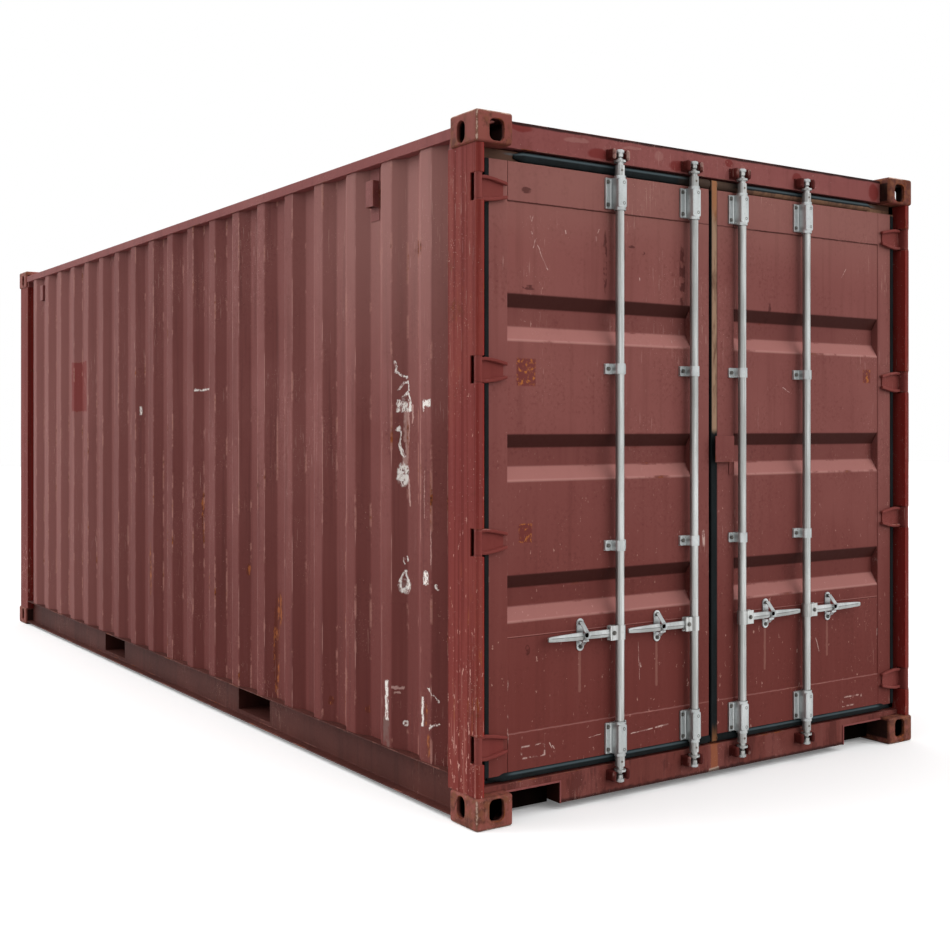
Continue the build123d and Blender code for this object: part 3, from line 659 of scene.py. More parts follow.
label_holes = [((2.463, 1.560), (0.016, 0.014)), ((2.460, 0.842), (0.011, 0.026)),
               ((2.466, 0.279), (0.005, 0.005)), ((2.457, 1.280), (0.006, 0.004)),
               ((2.478, 1.268), (0.006, 0.006)), ((2.452, 1.229), (0.004, 0.005)),
               ((2.467, 1.521), (0.003, 0.007)), ((2.383, 0.420), (0.004, 0.016)),
               ((2.384, 0.330), (0.005, 0.020)), ((2.666, 0.896), (0.006, 0.004))]
repaint = ((-1.786, -1.467), (1.552, 1.875))
wall_rust = [((1.292, 0.42), (0.020, 0.25)), ((0.981, 0.749), (0.010, 0.030)),
             ((2.667, 0.36), (0.010, 0.050)), ((2.683, 0.24), (0.012, 0.045)),
             ((1.319, 0.60), (0.028, 0.080)), ((1.858, 0.267), (0.014, 0.020)),
             ((2.167, 0.28), (0.012, 0.016)), ((-0.30, 0.62), (0.014, 0.16)),
             ((0.40, 1.00), (0.012, 0.11))]


def wall_marks(place, tone):
    """On the left wall: what is left of peeled labels, a repainted patch and rusty runs."""
    tone = fold_shade_and_bend_lines(place, tone)
    along, across, height = axes_of(place)
    on_left = fade(across, -1.0, -1.1)
    tone = mix(0.60 * fade(along, 0.3, -2.5), tone, "935f5a")
    tone = mix(0.60 * fade(height, 1.4, 2.4) * fade(along, 1.2, 2.4), tone, "9b6d67")
    tone = mix(0.30 * fade(abs(along + 0.2), 1.6, 0.4), tone, "65302c")
    wobble = 0.018 * (noise(place, 40, 2) - 0.5) + 0.008 * (noise(place, 170, 2) - 0.5)
    along, height = along + wobble, height + 1.3 * wobble
    patch = patch_of(along, height, *repaint)
    tone = mix(0.8 * patch * on_left, tone, "7a2c29")
    rust = marked(oval, along, height, wall_rust) * on_left
    speckle = noise(place, 1, 4, (50, 50, 16), rough=0.7)
    tone = mix(0.7 * rust, tone, "5f2a1e")
    tone = mix(rust * fade(speckle, 0.50, 0.58), tone, "97552e")
    smear = patch_of(along, height, (2.345, 2.392), (0.17, 0.29)) * fade(noise(place, 20, 2), 0.3, 0.6)
    tone = mix(0.6 * smear * on_left, tone, "74605a")
    drips = marked(stroke, along, height, label_drips) * on_left * fade(speckle, 0.30, 0.44)
    tone = mix(0.75 * drips, tone, "bb968e")
    paper = marked(patch_of, along, height, label_patches) | marked(oval, along, height, label_ovals)
    paper = (paper | marked(stroke, along, height, label_strokes)) * on_left
    holes = marked(oval, along, height, label_holes) * on_left
    kept = fade(noise(place, 90, 4, (1, 1, 0.6), rough=0.75), 0.42, 0.50)
    tone = mix(0.4 * paper, tone, "b58d86")
    tone = mix(0.9 * paper * kept, tone, "f0ebe5")
    return mix(0.9 * holes * paper, tone, "6a3a36")


wall_paint = old_paint("wall_paint", "76403c", "824c48", foot="6b3531", rust=0.18, scratches=0.7,
                       streaks=0.6, marks=wall_marks)
for side in ("left", "right"):
    dressed(softened(f"side_wall_{side}", 0.007, upright_fold, steps=3), wall_paint)


def end_fold(first, second):
    return abs(first.z - second.z) > 1 and abs(first.y) < 1.12


end_paint = old_paint("end_paint", "7d4946", "8a5653", foot="76433f", rust=0.3, scratches=0.9,
                      streaks=0.7)
dressed(softened("end_wall", 0.007, end_fold, steps=3), end_paint)

# Rails along the sides: channels below, with the fork pockets' mouths, and tubes above.
# The lower ones are dark with road dirt.
rail_paint = old_paint("rail_paint", "4a2722", "5a312b", rust=0.4, scratches=0.5, streaks=0.6)
for side in ("left", "right"):
    dressed(softened(f"bottom_rail_{side}", 0.002), rail_paint)
    dressed(softened(f"top_rail_{side}", 0.002), header_paint)
for node in ("cross_members", "fork_pockets"):
    dressed(frame["nodes"][node], rail_paint)

# Roof and floor: a pressed steel roof that holds dust and rust in its troughs, and sheets
# of plywood screwed down on the cross members.
roof_pitch = 0.209
rib_middle = -0.008
trough_half = 0.0455


def roof_marks(place, tone):
    """Dust and rust that water leaves in the troughs, and ribs that feet have rubbed."""
    along = axes_of(place)[0]
    beside = abs((along - rib_middle) % roof_pitch - roof_pitch / 2)
    dust = fade(noise(place, 3.5, 4, rough=0.65), 0.30, 0.60)
    tone = mix(0.55 * dust * fade(beside, trough_half + 0.004, trough_half - 0.006), tone, "6d4f46")
    edge = inside(beside, trough_half - 0.004, trough_half + 0.003, 0.003)
    tone = mix(0.5 * edge * fade(noise(place, 7, 4), 0.45, 0.60), tone, "5a2c1f")
    rubbed = streaky(place, (14, 5, 5), 0.55, 0.66, 4, 0.7) * fade(beside, 0.066, 0.074)
    return mix(0.4 * rubbed, tone, "b08a80")


roof_paint = old_paint("roof_paint", "7a4845", "93635c", rust=0.7, scratches=0.4, streaks=0,
                       marks=roof_marks)
dressed(frame["nodes"]["roof_panel"], roof_paint)
sheet_length = 1.20
sheet_width = 0.575


def sheet_marks(place, tone):
    """Grain along the sheets, dark seams between them, and scuffs."""
    along, across = axes_of(place)[:2]
    tone = mix(0.6 * streaky(place, (6, 90, 6), 0.45, 0.65, 4), tone, "4d3220")
    seams = inside(along % sheet_length, -0.004, 0.004, 0.002)
    seams = seams | inside(abs(across) % sheet_width, -0.003, 0.004, 0.002)
    tone = mix(0.85 * seams, tone, "1c110b")
    scuffs = streaky(place, (9, 70, 9), 0.60, 0.68, rough=0.7)
    return mix(0.5 * scuffs, tone, "a38a6c")


plywood = bare("plywood", "6b4830", "83603f", 0.55, 0, "3d281b", sheet_marks)
dressed(frame["nodes"]["floor"], plywood)

# Ventilators: a plate in a valley of the wall, with a hood that is open below.
dressed(softened("ventilators", 0.0008), end_paint)

# Doors: two hollow stiles, a rail above and below and a panel with three folds, all welded
# together. Each fold carries painted shade under its upper edge and in its flat, and a
# painted highlight on its lower slope.
fold_middle = 1.337
fold_pitch = 0.521
fold_flat = 0.034
fold_edge = 0.086
door_patches = [((-1.000, -0.912), (1.603, 1.705)), ((-0.99, -0.93), (1.02, 1.09)),
                ((0.945, 0.995), (1.65, 1.71))]
door_smears = [((-0.575, 2.09), (0.010, 0.12)), ((-0.485, 2.12), (0.012, 0.09)),
               ((-0.17, 2.06), (0.016, 0.13)), ((-0.44, 2.16), (0.018, 0.006)),
               ((-0.38, 2.14), (0.010, 0.008)), ((0.34, 1.93), (0.010, 0.05)),
               ((-0.96, 2.33), (0.030, 0.012)), ((-0.94, 1.97), (0.035, 0.010)),
               ((-0.95, 0.62), (0.012, 0.02))]
door_scratches = [((-0.938, 2.236), (-0.931, 2.216), 0.0015), ((-0.931, 2.216), (-0.924, 2.238), 0.0015),
                  ((-0.931, 2.178), (-0.928, 2.172), 0.0025), ((-0.922, 2.120), (-0.914, 2.150), 0.0012),
                  ((-0.903, 2.131), (-0.856, 2.041), 0.0015), ((-0.770, 2.197), (-0.769, 2.185), 0.0022),
                  ((-0.620, 2.185), (-0.619, 2.170), 0.0025), ((-0.605, 2.215), (-0.612, 2.200), 0.0015),
                  ((-0.398, 2.040), (-0.397, 2.030), 0.002), ((-0.445, 0.243), (-0.335, 0.249), 0.0022),
                  ((-0.318, 0.250), (-0.250, 0.255), 0.0028), ((-0.405, 0.60), (-0.398, 0.45), 0.0010),
                  ((-0.395, 0.515), (-0.392, 0.50), 0.0030), ((-0.66, 0.256), (-0.60, 0.262), 0.0012),
                  ((-0.850, 0.262), (-0.838, 0.242), 0.0020), ((-0.835, 0.250), (-0.826, 0.238), 0.0015),
                  ((0.42, 1.62), (0.46, 1.60), 0.0015), ((0.80, 2.12), (0.83, 2.16), 0.0012),
                  ((0.63, 0.52), (0.65, 0.46), 0.0015), ((-0.055, 1.02), (-0.052, 0.965), 0.007)]
door_drips = [((0.702, 0.585), (0.702, 0.44), 0.006), ((0.309, 0.585), (0.309, 0.42), 0.006)]
worn_frames = [((-0.984, -0.871), (0.2185, 0.266)), ((0.80, 0.93), (0.195, 0.240))]
frame_rim = 0.005
stile_inner = 1.043
foot_rail_top = 0.318
head_rail_foot = 2.284


def door_marks(place, tone):
    """Repainted squares by the hinges, smears beside the bars, scratches and worn label frames."""
    across, height = axes_of(place)[1:]
    tone = mix(0.40 * fade(height, 2.05, 2.40), tone, "95675f")
    flecks = streaky(place, (60, 60, 26), 0.67, 0.70, rough=0.75) * fade(height, 2.1, 0.6)
    tone = mix(0.7 * flecks, tone, "bb9085")
    wobble = noise(place, 40, 3) - 0.5
    across, height = across + 0.008 * wobble, height + 0.006 * wobble
    patch = marked(patch_of, across, height, door_patches)
    rusty = patch * fade(noise(place, 60, 4, rough=0.7), 0.53, 0.60)
    tone = mix(0.7 * patch, tone, "662a26")
    tone = mix(rusty, tone, "a4602f")
    smear = marked(oval, across, height, door_smears) * fade(noise(place, 30, 3), 0.40, 0.54)
    tone = mix(0.7 * smear, tone, "3f1815")
    tone = mix(0.3 * marked(stroke, abs(across), height, door_drips), tone, "a87a6e")
    # Painted shade in a dark line under the head rail, and a painted highlight in a pale line above the
    # foot rail.
    seam = fade(abs(across), stile_inner + 0.003, stile_inner)
    seam_shade_line = seam * inside(height, head_rail_foot - 0.002, head_rail_foot + 0.003, 0.002)
    seam_highlight_line = seam * inside(height, foot_rail_top - 0.002, foot_rail_top + 0.002, 0.002)
    tone = mix(0.35 * seam_highlight_line, mix(0.7 * seam_shade_line, tone, "3d1714"), "b3807a")
    dashes = streaky(place, (20, 20, 14), 0.54, 0.62, rough=0.7) * fade(height, 1.2, 0.6)
    beside = inside(abs(across), stile_inner - 0.004, stile_inner, 0.002)
    scratched = marked(stroke, across, height, door_scratches) | 0.7 * dashes * beside
    for side, up in worn_frames:
        within = [(span[0] + frame_rim, span[1] - frame_rim) for span in (side, up)]
        rim = patch_of(across, height, side, up) - patch_of(across, height, *within)
        scratched = scratched | rim * fade(noise(place, 55, 2), 0.50, 0.56)
    broken = 0.25 + 0.75 * streaky(place, (35, 35, 35), 0.44, 0.54, rough=0.7)
    return mix(0.8 * scratched * broken, tone, "c9aaa2")


def over_fold(place):
    """Height over the middle of the nearest of the three folds, and far off past all three."""
    height = axes_of(place)[2]
    over = nearest(height - fold_middle, fold_pitch)
    return over + 2 * fade(height, 2.0, 2.05) + 2 * fade(height, 0.68, 0.63)


def panel_marks_and_fold_light(place, tone):
    """Painted shade in each fold's flat, and a painted highlight on its lower slope and bend."""
    tone = door_marks(place, tone)
    around = over_fold(place)
    # Painted shade in the fold's flat, then a painted highlight on the lower slope and its bend.
    tone = mix(0.30 * inside(around, -fold_flat, fold_flat, 0.006), tone, "5c2c28")
    tone = mix(0.60 * inside(around, -fold_edge, -fold_flat, 0.004), tone, "ad7670")
    return mix(0.35 * inside(around, -fold_edge - 0.005, -fold_edge + 0.004, 0.003), tone, "c49189")


def fold_shade(place, tone):
    """Painted shade: the upper slope of each fold, which looks down, near black."""
    return mix(0.92 * inside(over_fold(place), fold_flat + 0.002, fold_edge, 0.004), tone, "361713")


def level_fold(first, second):
    return abs(first.y - second.y) > 0.5 and min(first.z, second.z) > 0.4 and max(first.z, second.z) < 2.2


door_paint = old_paint("door_paint", "7d4743", "85504b", foot="6c342f", rust=0.15, scratches=0.3,
                       streaks=0.25, marks=door_marks)
panel_paint = old_paint("panel_paint", "7d4743", "844e49", foot="6b332e", rust=0.12, scratches=0.3,
                        streaks=0.25, wear="7a4440", marks=panel_marks_and_fold_light, painted_shade=fold_shade)
for side in ("left", "right"):
    door = f"{side}_door"
    dressed(frame["nodes"][f"{door}_stiles"], door_paint)
    dressed(softened(f"{door}_rails", 0.002), door_paint)
    dressed(softened(f"{door}_panel", 0.006, level_fold, steps=3), panel_paint)

# Hinge blades: forged straps with a knuckle, painted with the post. Two ribs run along each
# one and draw together towards the tip. Thin washers sit in the gaps by the lugs.
def repeated(piece, places):
    """A piece modelled at the origin, copied to each place, as one object."""
    copies = []
    for place in places:
        copy = piece.copy()
        copy.data = piece.data.copy()
        copy.data.transform(Matrix.Translation(place))
        bpy.context.scene.collection.objects.link(copy)
        copies.append(copy)
    bpy.data.objects.remove(piece)
    return joined(copies)


def worn_or_lit_where(piece, chosen):
    """Marks the chosen faces for the paint's pale edge colour: rubbed paint, and a painted highlight."""
    worn = piece.data.attributes.new("worn", "FLOAT", "FACE")
    for face in piece.data.polygons:
        worn.data[face.index].value = float(chosen(face))


def sliced(place, direction):
    """Cuts through all faces of the active piece, across a direction."""
    start_edit("polygons", every)
    bpy.ops.mesh.bisect(plane_co=place, plane_no=direction)
    bpy.ops.object.mode_set(mode="OBJECT")


def bent_rib(low, high, stations, rounding):
    """A rib along Y that is moved up or down at stations along it."""
    piece = block(low, high, 0)
    for across, _ in stations[1:-1]:
        sliced((0, across, 0), (0, 1, 0))
    for across, rise in stations:
        for corner in piece.data.vertices:
            if abs(corner.co.y - across) < 0.0005:
                corner.co.z += rise
    modified("BEVEL", width=rounding, segments=3, angle_limit=math.radians(50))
    return piece


rib_line = [(1.055, 0.024), (1.110, 0.036), (1.150, 0.041), (1.183, 0.039)]
rib_half = 0.0065
pin_place = (3.007, 1.197)
door_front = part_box("left_door_stiles")[1][0]
blade_front = door_front + 0.006
hinge_heights = (0.287, 1.034, 1.657, 2.316)
washer_rise = 0.047
blade_paint = old_paint("blade_paint", "74322e", "7f403b", rust=0.3, scratches=0.8, streaks=0.3,
                        wear="b8857c")
for side, outwards in (("left", -1), ("right", 1)):
    dressed(softened(f"{side}_door_hinge_blades", 0.002), blade_paint)
    ribs = []
    for up in (-1, 1):
        stations = [(outwards * across, up * rise) for across, rise in rib_line]
        span = sorted((stations[0][0], stations[-1][0]))
        low = (blade_front - 0.002, span[0], -rib_half)
        high = (blade_front + 0.013, span[1], rib_half)
        rib = bent_rib(low, high, stations, 0.0035)
        # Painted highlight: the rib faces that look up take the pale edge colour.
        worn_or_lit_where(rib, lambda face: face.normal.z > 0.5 or face.normal.x > 0.5 and face.normal.z > 0.1)
        ribs.append(repeated(rib, [(0, 0, height) for height in hinge_heights]))
    fitted(joined(ribs), f"{side}_hinge_ribs", f"{side}_door", blade_paint, 50)
    washer = block((-0.013, -0.013, -0.0026), (0.013, 0.013, 0.0026), 0)
    heights = [corner.co.z for corner in washer.data.vertices]
    bevelled(lambda edge: abs(heights[edge.vertices[0]] - heights[edge.vertices[1]]) > 0.001, 0.008, 5)
    places = [(pin_place[0], outwards * pin_place[1], height + up * washer_rise)
              for height in hinge_heights for up in (-1, 1)]
    fitted(repeated(washer, places), f"{side}_hinge_washers", f"{side}_door", blade_paint)


# Bar brackets: galvanised pressings, bolted to the doors. The long ones have a broad cover
# with two small bolts over the bar, a flange with a raised rim, and a collar at each end.
def rod(centre, radius, length, axis, sides=28):
    """A round blank along X, Y or Z."""
    bpy.ops.object.select_all(action="DESELECT")
    turn = {"X": (0, math.pi / 2, 0), "Y": (math.pi / 2, 0, 0), "Z": (0, 0, 0)}[axis]
    bpy.ops.mesh.primitive_cylinder_add(vertices=sides, radius=radius, depth=length, location=centre,
                                        rotation=turn)
    bpy.ops.object.transform_apply(location=True, rotation=True, scale=True)
    return bpy.context.object


def sunk(chosen, rim, move):
    """Insets the faces that pass a test, and moves what lies within their rim."""
    start_edit("polygons", chosen)
    bpy.ops.mesh.inset(thickness=rim)
    bpy.ops.transform.translate(value=move)
    bpy.ops.object.mode_set(mode="OBJECT")


def faces_front(face):
    return face.normal.x > 0.99


def bolt_head(radius, stand, sides=6, proud=0.35):
    """One head that faces +X, with its foot at the origin: a nut with the bolt's end in it."""
    piece = rod((stand / 2, 0, 0), radius, stand, "X", sides)
    for share, rise in ((0.30, 0.0), (0.03, proud), (0.18, 0.4 * proud)):
        sunk(lambda face: faces_front(face) and face.center.yz.length < 0.1 * radius,
             share * radius, (rise * radius, 0, 0))
    return piece


bar_middle = 0.3335
bar_apart = 0.1965
bar_inner = bar_middle - bar_apart
hub_height = 0.655
pin_reach = 0.038
rest_reach = 0.172


def bar_runs_and_shade(place, tone):
    """Long grey runs, and painted shade on each bar's two sides."""
    tone = mix(0.6 * streaky(place, (95, 95, 1.2), 0.46, 0.60), tone, "8b8b88")
    tone = mix(0.5 * streaky(place, (120, 120, 3), 0.58, 0.66, 2), tone, "e0e1df")
    # Painted shade: darker along both sides of each bar.
    beside = abs(abs(abs(axes_of(place)[1]) - bar_middle) - bar_apart)
    sides = fade(beside, 0.008, 0.0145) * fade(beside, 0.024, 0.019)
    return mix(0.55 * sides, tone, "6b6865")


def grip_shade_marks(place, tone):
    """Painted shade: a dark line that slants along each handle's crease, and darker steel below it."""
    across, height = axes_of(place)[1:]
    reach = (abs(across) - bar_inner) % (2 * bar_apart)
    level = height - hub_height - 0.02 * (reach - rest_reach)
    # Painted shade below the crease, and a dark painted line along it.
    tone = mix(0.45 * fade(level, 0.001, -0.001), tone, "8b8d89")
    crease = inside(level, -0.0011, 0.0011, 0.0008) * inside(reach, 0.06, 0.335, 0.01)
    return mix(0.8 * crease, tone, "33302c")


galvanised = bare("galvanised", "b4b6b4", "cacccb", 0.30, 0.7, "999b99", bar_runs_and_shade, shine=0.3)
bright_zinc = bare("bright_zinc", "a8acac", "c4c8c8", 0.30, 0.75, "83878a")
grip_zinc = bare("grip_zinc", "b0b3b2", "cdd0d0", 0.30, 0.75, "83878a", grip_shade_marks)
bolt_steel = bare("bolt_steel", "55534f", "787671", 0.5, 0.6, "3a3028")
bars = {joint["child"]: joint["pos_m"] for joint in frame["joints"]
        if joint["name"].endswith("bar_turn")}
bearing_heights = (0.242, 2.357)
guide_heights = (0.990, 1.676)
flange_front = door_front + 0.006
bearing_half = 0.060
cover_half = 0.022
flange_outer = 0.052
cover_bolt_rise = 0.040
flange_nut_reach, flange_nut_rise = 0.040, 0.044
guide_nut_reach = 0.038


def bar_cover(place, height):
    """A broad cover with rounded edges, bored for the bar."""
    low = (flange_front - 0.003, place[1] - cover_half, height - bearing_half + 0.002)
    high = (place[0] + 0.0225, place[1] + cover_half, height + bearing_half - 0.002)
    cover = block(low, high, 0.010)
    bore = rod((place[0], place[1], height), 0.0176, 0.2, "Z", 32)
    alone(cover)
    modified("BOOLEAN", object=bore)
    bpy.data.objects.remove(bore)
    return cover


def flange_rim(place, height, turn):
    """The raised rim round one flange of a long bracket."""
    inner, outer = sorted((turn * cover_half, turn * flange_outer))
    low = (flange_front - 0.004, place[1] + inner, height - bearing_half)
    high = (flange_front + 0.003, place[1] + outer, height + bearing_half)
    rim = block(low, high, 0.0025, 2)
    sunk(faces_front, 0.004, (-0.004, 0, 0))
    return rim


def collar(place, height):
    """A thin ring round the bar, at one end of a long bracket."""
    ring = rod((place[0], place[1], height), 0.0229, 0.006, "Z")
    bevelled(every, 0.0015, 2)
    return ring


for side in ("left", "right"):
    door = f"{side}_door"
    dressed(softened(f"{door}_bar_brackets", 0.0015), bright_zinc)
    nuts, rims, small_nuts = [], [], []
    for bar, place in bars.items():
        if side not in bar:
            continue
        for height in bearing_heights:
            rims.append(bar_cover(place, height))
            small_nuts += [(place[0] + 0.020, place[1] + 0.003, height + up * cover_bolt_rise)
                           for up in (-1, 1)]
            for turn in (-1, 1):
                rims.append(flange_rim(place, height, turn))
                across = place[1] + turn * flange_nut_reach
                nuts += [(flange_front - 0.001, across, height + up * flange_nut_rise) for up in (-1, 1)]
            rims += [collar(place, height + up * (bearing_half + 0.004)) for up in (-1, 1)]
        for height in guide_heights:
            nuts += [(flange_front, place[1] + turn * guide_nut_reach, height) for turn in (-1, 1)]
    fitted(joined(rims), f"{door}_bracket_rims", door, bright_zinc)
    heads = repeated(bolt_head(0.0085, 0.006), nuts)
    fitted(heads, f"{door}_bracket_nuts", door, bolt_steel)
    heads = repeated(bolt_head(0.007, 0.003, proud=-0.15), small_nuts)
    fitted(heads, f"{door}_cover_bolts", door, bolt_steel)

# Lock bars: galvanised tubes with a forged cam welded on each end. A dark steel disc on each
# sleeve is painted shade for its vent hole, and the cam's outer face is a rounded button.
for bar, place in bars.items():
    dressed(frame["nodes"][bar], galvanised)
    low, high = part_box(bar)
    caps = []
    for end, up in ((low[2], -1), (high[2], 1)):
        caps.append(rod((place[0], place[1], end - up * 0.004), 0.0165, 0.010, "Z", 24))
        sunk(lambda face: abs(face.normal.z) > 0.99, 0.005, (0, 0, up * 0.003))
    fitted(joined(caps), f"{bar}_buttons", bar, bright_zinc, 60)
    rivet_place = (place[0] + 0.0115, place[1] + math.copysign(pin_reach, place[1]), hub_height)
    rivet = repeated(bolt_head(0.009, 0.003, 20), [rivet_place])
    fitted(rivet, f"{bar}_hub_rivet", bar, bolt_steel)
    # Painted shade: a dark disc stands for each vent hole.
    places = [(place[0] + 0.0183, place[1] - 0.004, height)
              for height in (low[2] + 0.078, high[2] - 0.078)]
    holes = repeated(bolt_head(0.0045, 0.001, 14), places)
    fitted(holes, f"{bar}_vent_holes", bar, pin_steel)


# Handles: flat bars, hot bent and ground to a grip, with a crease along the middle where
# they were pressed. Each is pinned in its bar's hub and rests on a bolted retainer.
def pinched_handle(bar_y, outwards, height, depth):
    """The bar as a row of sections, each scaled to its own height."""
    sections = [(0.042, 1.0, 1), (0.110, 1.0, 5), (0.150, 0.96, 6), (0.172, 0.72, 6), (0.188, 1.0, 6),
                (0.215, 1.0, 6), (0.280, 0.86, 5), (0.335, 0.70, 3), (0.350, 0.56, 1)]
    near, far = sections[0][0], sections[-1][0]
    span = sorted((bar_y + outwards * near, bar_y + outwards * far))
    piece = block((depth - 0.005, span[0], height - 0.0145), (depth + 0.004, span[1], height + 0.0145), 0)
    for reach, _, _ in sections[1:-1]:
        sliced((0, bar_y + outwards * reach, 0), (0, 1, 0))
    sliced((0, 0, height), (0, 0, 1))
    for corner in piece.data.vertices:
        for reach, share, crease in sections:
            if abs(corner.co.y - bar_y - outwards * reach) < 0.0005:
                if abs(corner.co.z - height) < 0.0005 and corner.co.x > depth:
                    corner.co.x += 0.001 * crease
                corner.co.z = height + share * (corner.co.z - height)
    modified("BEVEL", width=0.002, segments=2, angle_limit=math.radians(60))
    return piece


def hasp(bar_y, outwards, height, depth):
    """The catch that keeps a handle down: a strap that comes forward over it to an eye."""
    middle = bar_y + outwards * 0.174
    front = depth + 0.013
    straps = []
    for start, end in (((depth - 0.021, height + 0.050), (front, height + 0.014)),
                       ((front, height - 0.006), (depth - 0.014, height - 0.036))):
        run = (end[0] - start[0], end[1] - start[1])
        strap = block((-0.002, -0.0105, -math.hypot(*run) - 0.002), (0.002, 0.0105, 0.002), 0.0018, 2)
        strap.data.transform(Matrix.Rotation(math.atan2(-run[0], -run[1]), 4, "Y"))
        strap.data.transform(Matrix.Translation((start[0], middle, start[1])))
        straps.append(strap)
    ring = rod((front, middle, height + 0.004), 0.0145, 0.008, "X", 24)
    sunk(faces_front, 0.005, (-0.005, 0, 0))
    return joined(straps + [ring]), (front - 0.0012, middle, height + 0.004)


for joint in frame["joints"]:
    if not joint["name"].endswith("handle_lift"):
        continue
    handle = joint["child"]
    depth, pin_y, height = joint["pos_m"]
    outwards = math.copysign(1, pin_y)
    bar_y = pin_y - outwards * pin_reach
    grip = pinched_handle(bar_y, outwards, height, depth)
    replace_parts(fitted(grip, f"{handle}_forged", handle, grip_zinc, 20), handle)
    catch, eye = hasp(bar_y, outwards, height, depth)
    fitted(catch, f"{handle}_hasp", handle, bright_zinc)
    # Painted shade: a near-black disc fills the eye of the hasp's ring.
    fitted(repeated(bolt_head(0.0090, 0.0006, 16), [eye]), f"{handle}_eye", handle, grime)

for side in ("left", "right"):
    door = f"{side}_door"
    dressed(softened(f"{door}_handle_retainers", 0.0015), bright_zinc)
    plate_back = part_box(f"{door}_handle_retainers")[0][0]
    nuts = []
    for bar, place in bars.items():
        if side in bar:
            middle = place[1] + math.copysign(rest_reach, place[1])
            nuts += [(plate_back + 0.0048, middle, hub_height + up) for up in (-0.0455, 0.0465)]
    heads = repeated(bolt_head(0.0085, 0.005), nuts)
    fitted(heads, f"{door}_retainer_nuts", door, bolt_steel)

# Door seals: black rubber with a thick bulb above and below the doors and thin lips beside
# them. A wider strip closes the gap where the doors meet. Rust has stained its upper half.
# Each bulb carries a painted highlight along its upper side.
strip_span = (-0.014, 0.021)
strip_change = 1.45


def seal_stains_and_highlight(place, tone):
    """Rust from above: pale brown on the middle strip's upper half and on the lips, and a painted
    highlight along each bulb.
    """
    depth, across, height = axes_of(place)
    stain = noise(place, 1, 4, (20, 20, 4), rough=0.7)
    lips = fade(depth, 2.958, 2.955) * fade(height, 2.41, 2.43)
    tone = mix(0.8 * lips, tone, "6b4a3a")
    near = fade(abs(across) + 0.35 * stain, 0.42, 0.16) * fade(height, 2.42, 2.43)
    tone = mix(0.6 * near, tone, "5a4336")
    # Painted highlight: a lighter band along the upper side of each bulb.
    bulb_highlight = inside(height, seal_high - 0.016, seal_high - 0.008, 0.003)
    bulb_highlight = bulb_highlight | inside(height, seal_low + 0.023, seal_low + 0.030, 0.003)
    tone = mix(0.5 * bulb_highlight * inside(abs(across), 0.15, 1.04, 0.02), tone, "55646a")
    washed = inside(height + 0.006 * stain, seal_high - 0.045, seal_high - 0.020, 0.002)
    washed = washed * fade(across, 0.10, 0.16)
    tone = mix(0.85 * washed, tone, mix(fade(stain, 0.4, 0.6), "84614a", "66493a"))
    strip = inside(across, strip_span[0] + 0.004, strip_span[1] - 0.004, 0.004)
    upper = strip * fade(height + 0.05 * stain, strip_change - 0.01, strip_change + 0.02)
    tone = mix(0.9 * upper, tone, mix(fade(stain, 0.45, 0.65), "a08068", "6b4a3a"))
    tone = mix(0.7 * upper * fade(height + 0.1 * stain, 2.33, 2.42), tone, "94582f")
    foot = strip * fade(height + 0.1 * stain, 0.28, 0.20)
    return mix(0.7 * foot, tone, "8a5a38")


def bulb(back, height, radius, inner, outer, taper, outwards):
    """A round rubber bulb across a door, drawn out to nothing where it nears the hinges."""
    middle = outwards * (inner + outer) / 2
    piece = rod((door_front - back, middle, height), radius, outer - inner, "Y", 24)
    start_edit("polygons", lambda face: outwards * face.normal.y > 0.99)
    bpy.ops.mesh.extrude_region_move(TRANSFORM_OT_translate={"value": (-0.006, outwards * taper, 0)})
    bpy.ops.transform.resize(value=(0.4, 1, 0.4))
    bpy.ops.object.mode_set(mode="OBJECT")
    return piece


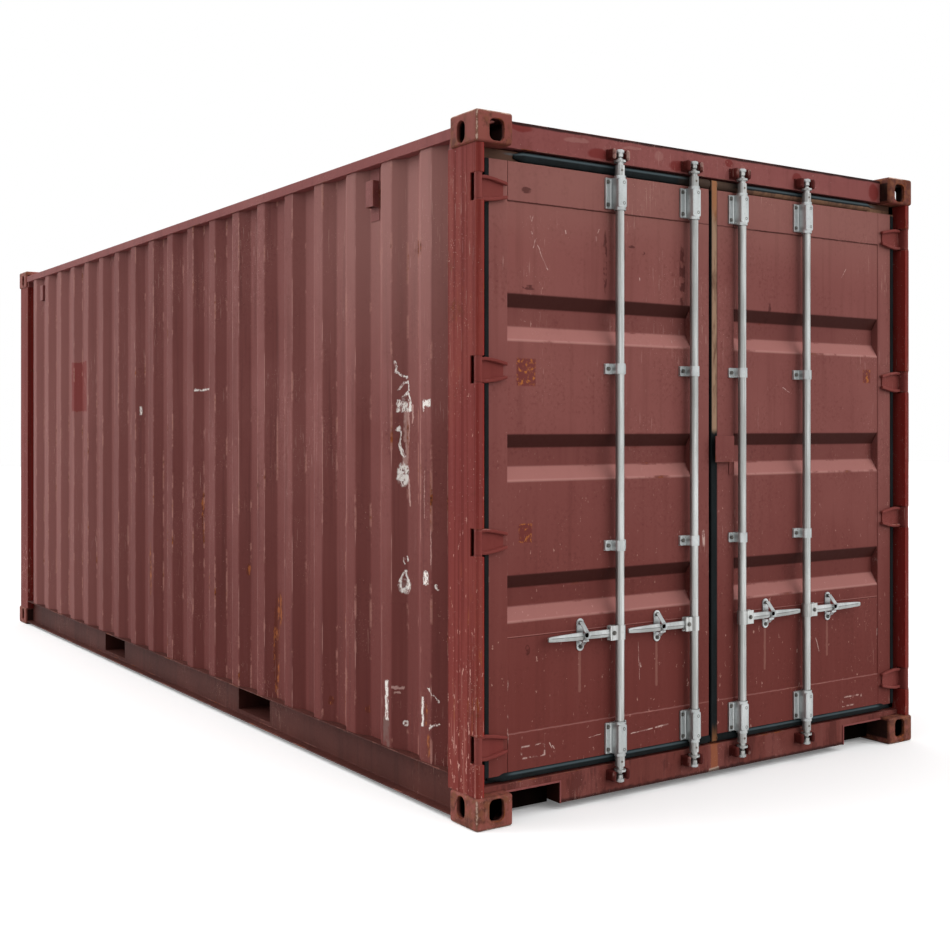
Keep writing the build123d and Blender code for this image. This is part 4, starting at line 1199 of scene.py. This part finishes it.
seal_low, seal_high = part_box("left_door_seal")[0][2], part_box("left_door_seal")[1][2]
rubber = bare("rubber", "0c1011", "151b1d", 0.6, 0, "202627", seal_stains_and_highlight, shine=0.1)
door_low, door_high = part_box("left_door_stiles")[0][2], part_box("left_door_stiles")[1][2]
door_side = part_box("right_door_stiles")[1][1]
seal_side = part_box("right_door_seal")[1][1]
lip_back = 2.936
lip_front = 2.956
for side, outwards, meeting in (("left", -1, 0.022), ("right", 1, 0.014)):
    lips = (((lip_back, meeting, door_high - 0.002), (lip_front, seal_side, seal_high)),
            ((lip_back, meeting, seal_low), (lip_front, seal_side, door_low + 0.002)),
            ((lip_back, door_side - 0.002, seal_low), (lip_front, seal_side, seal_high)),
            ((lip_front, door_side - 0.014, door_low),
             (door_front + 0.0035, door_side + 0.006, door_high)))
    parts = [block_beside(outwards, low, high, 0.003, 2) for low, high in lips]
    parts.append(bulb(0.014, seal_high - 0.020, 0.020, meeting, door_side - 0.170, 0.035, outwards))
    parts.append(bulb(0.012, seal_low + 0.019, 0.019, meeting, door_side - 0.080, 0.065, outwards))
    if side == "right":
        low = (lip_back, strip_span[0], seal_low + 0.004)
        high = (door_front + 0.004, strip_span[1], seal_high - 0.004)
        parts.append(block(low, high, 0.004))
    seal = fitted(joined(parts), f"{side}_seal_lips", f"{side}_door", rubber)
    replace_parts(seal, f"{side}_door_seal")

# Lock plate: a folded cover bolted to the right door's edge. Keepers: forged jaws on header
# and sill, hollow in front, dark red with rims rubbed pink by the cams and a painted highlight.
plate_paint = old_paint("plate_paint", "703a36", "7d4945", rust=0.3, scratches=0.8, streaks=0.2)
dressed(softened("lock_plate", 0.001), plate_paint)
keeper_low, keeper_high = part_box("cam_keepers")
keeper_half = 0.0215
jaw_inner = 0.0245
jaw_outer = 0.045
plate_half = 0.046
keeper_paint = old_paint("keeper_paint", "471a17", "5c2723", rust=0.1, scratches=0.8, wear="c09a90")
plate_back = keeper_low[0] - 0.001
plate_front = keeper_low[0] + 0.005
parts = [block((plate_back, -plate_half, -keeper_half), (plate_front, plate_half, keeper_half), 0.002, 2)]
for turn in (-1, 1):
    low = (keeper_low[0], jaw_inner, -keeper_half)
    high = (keeper_high[0], jaw_outer, keeper_half)
    jaw = block_beside(turn, low, high, 0.010)
    sunk(faces_front, 0.0015, (-0.009, 0, 0))
    # Front rims take the pale edge colour: rubbed paint and a painted highlight.
    worn_or_lit_where(jaw, lambda face: face.normal.x > 0.3 and face.center.x > keeper_high[0] - 0.005)
    parts.append(jaw)
places = [(0, place[1], level) for place in bars.values()
          for level in (keeper_low[2] + keeper_half, keeper_high[2] - keeper_half)]
keepers = fitted(repeated(joined(parts), places), "forged_keepers", "frame", keeper_paint)
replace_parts(keepers, "cam_keepers")
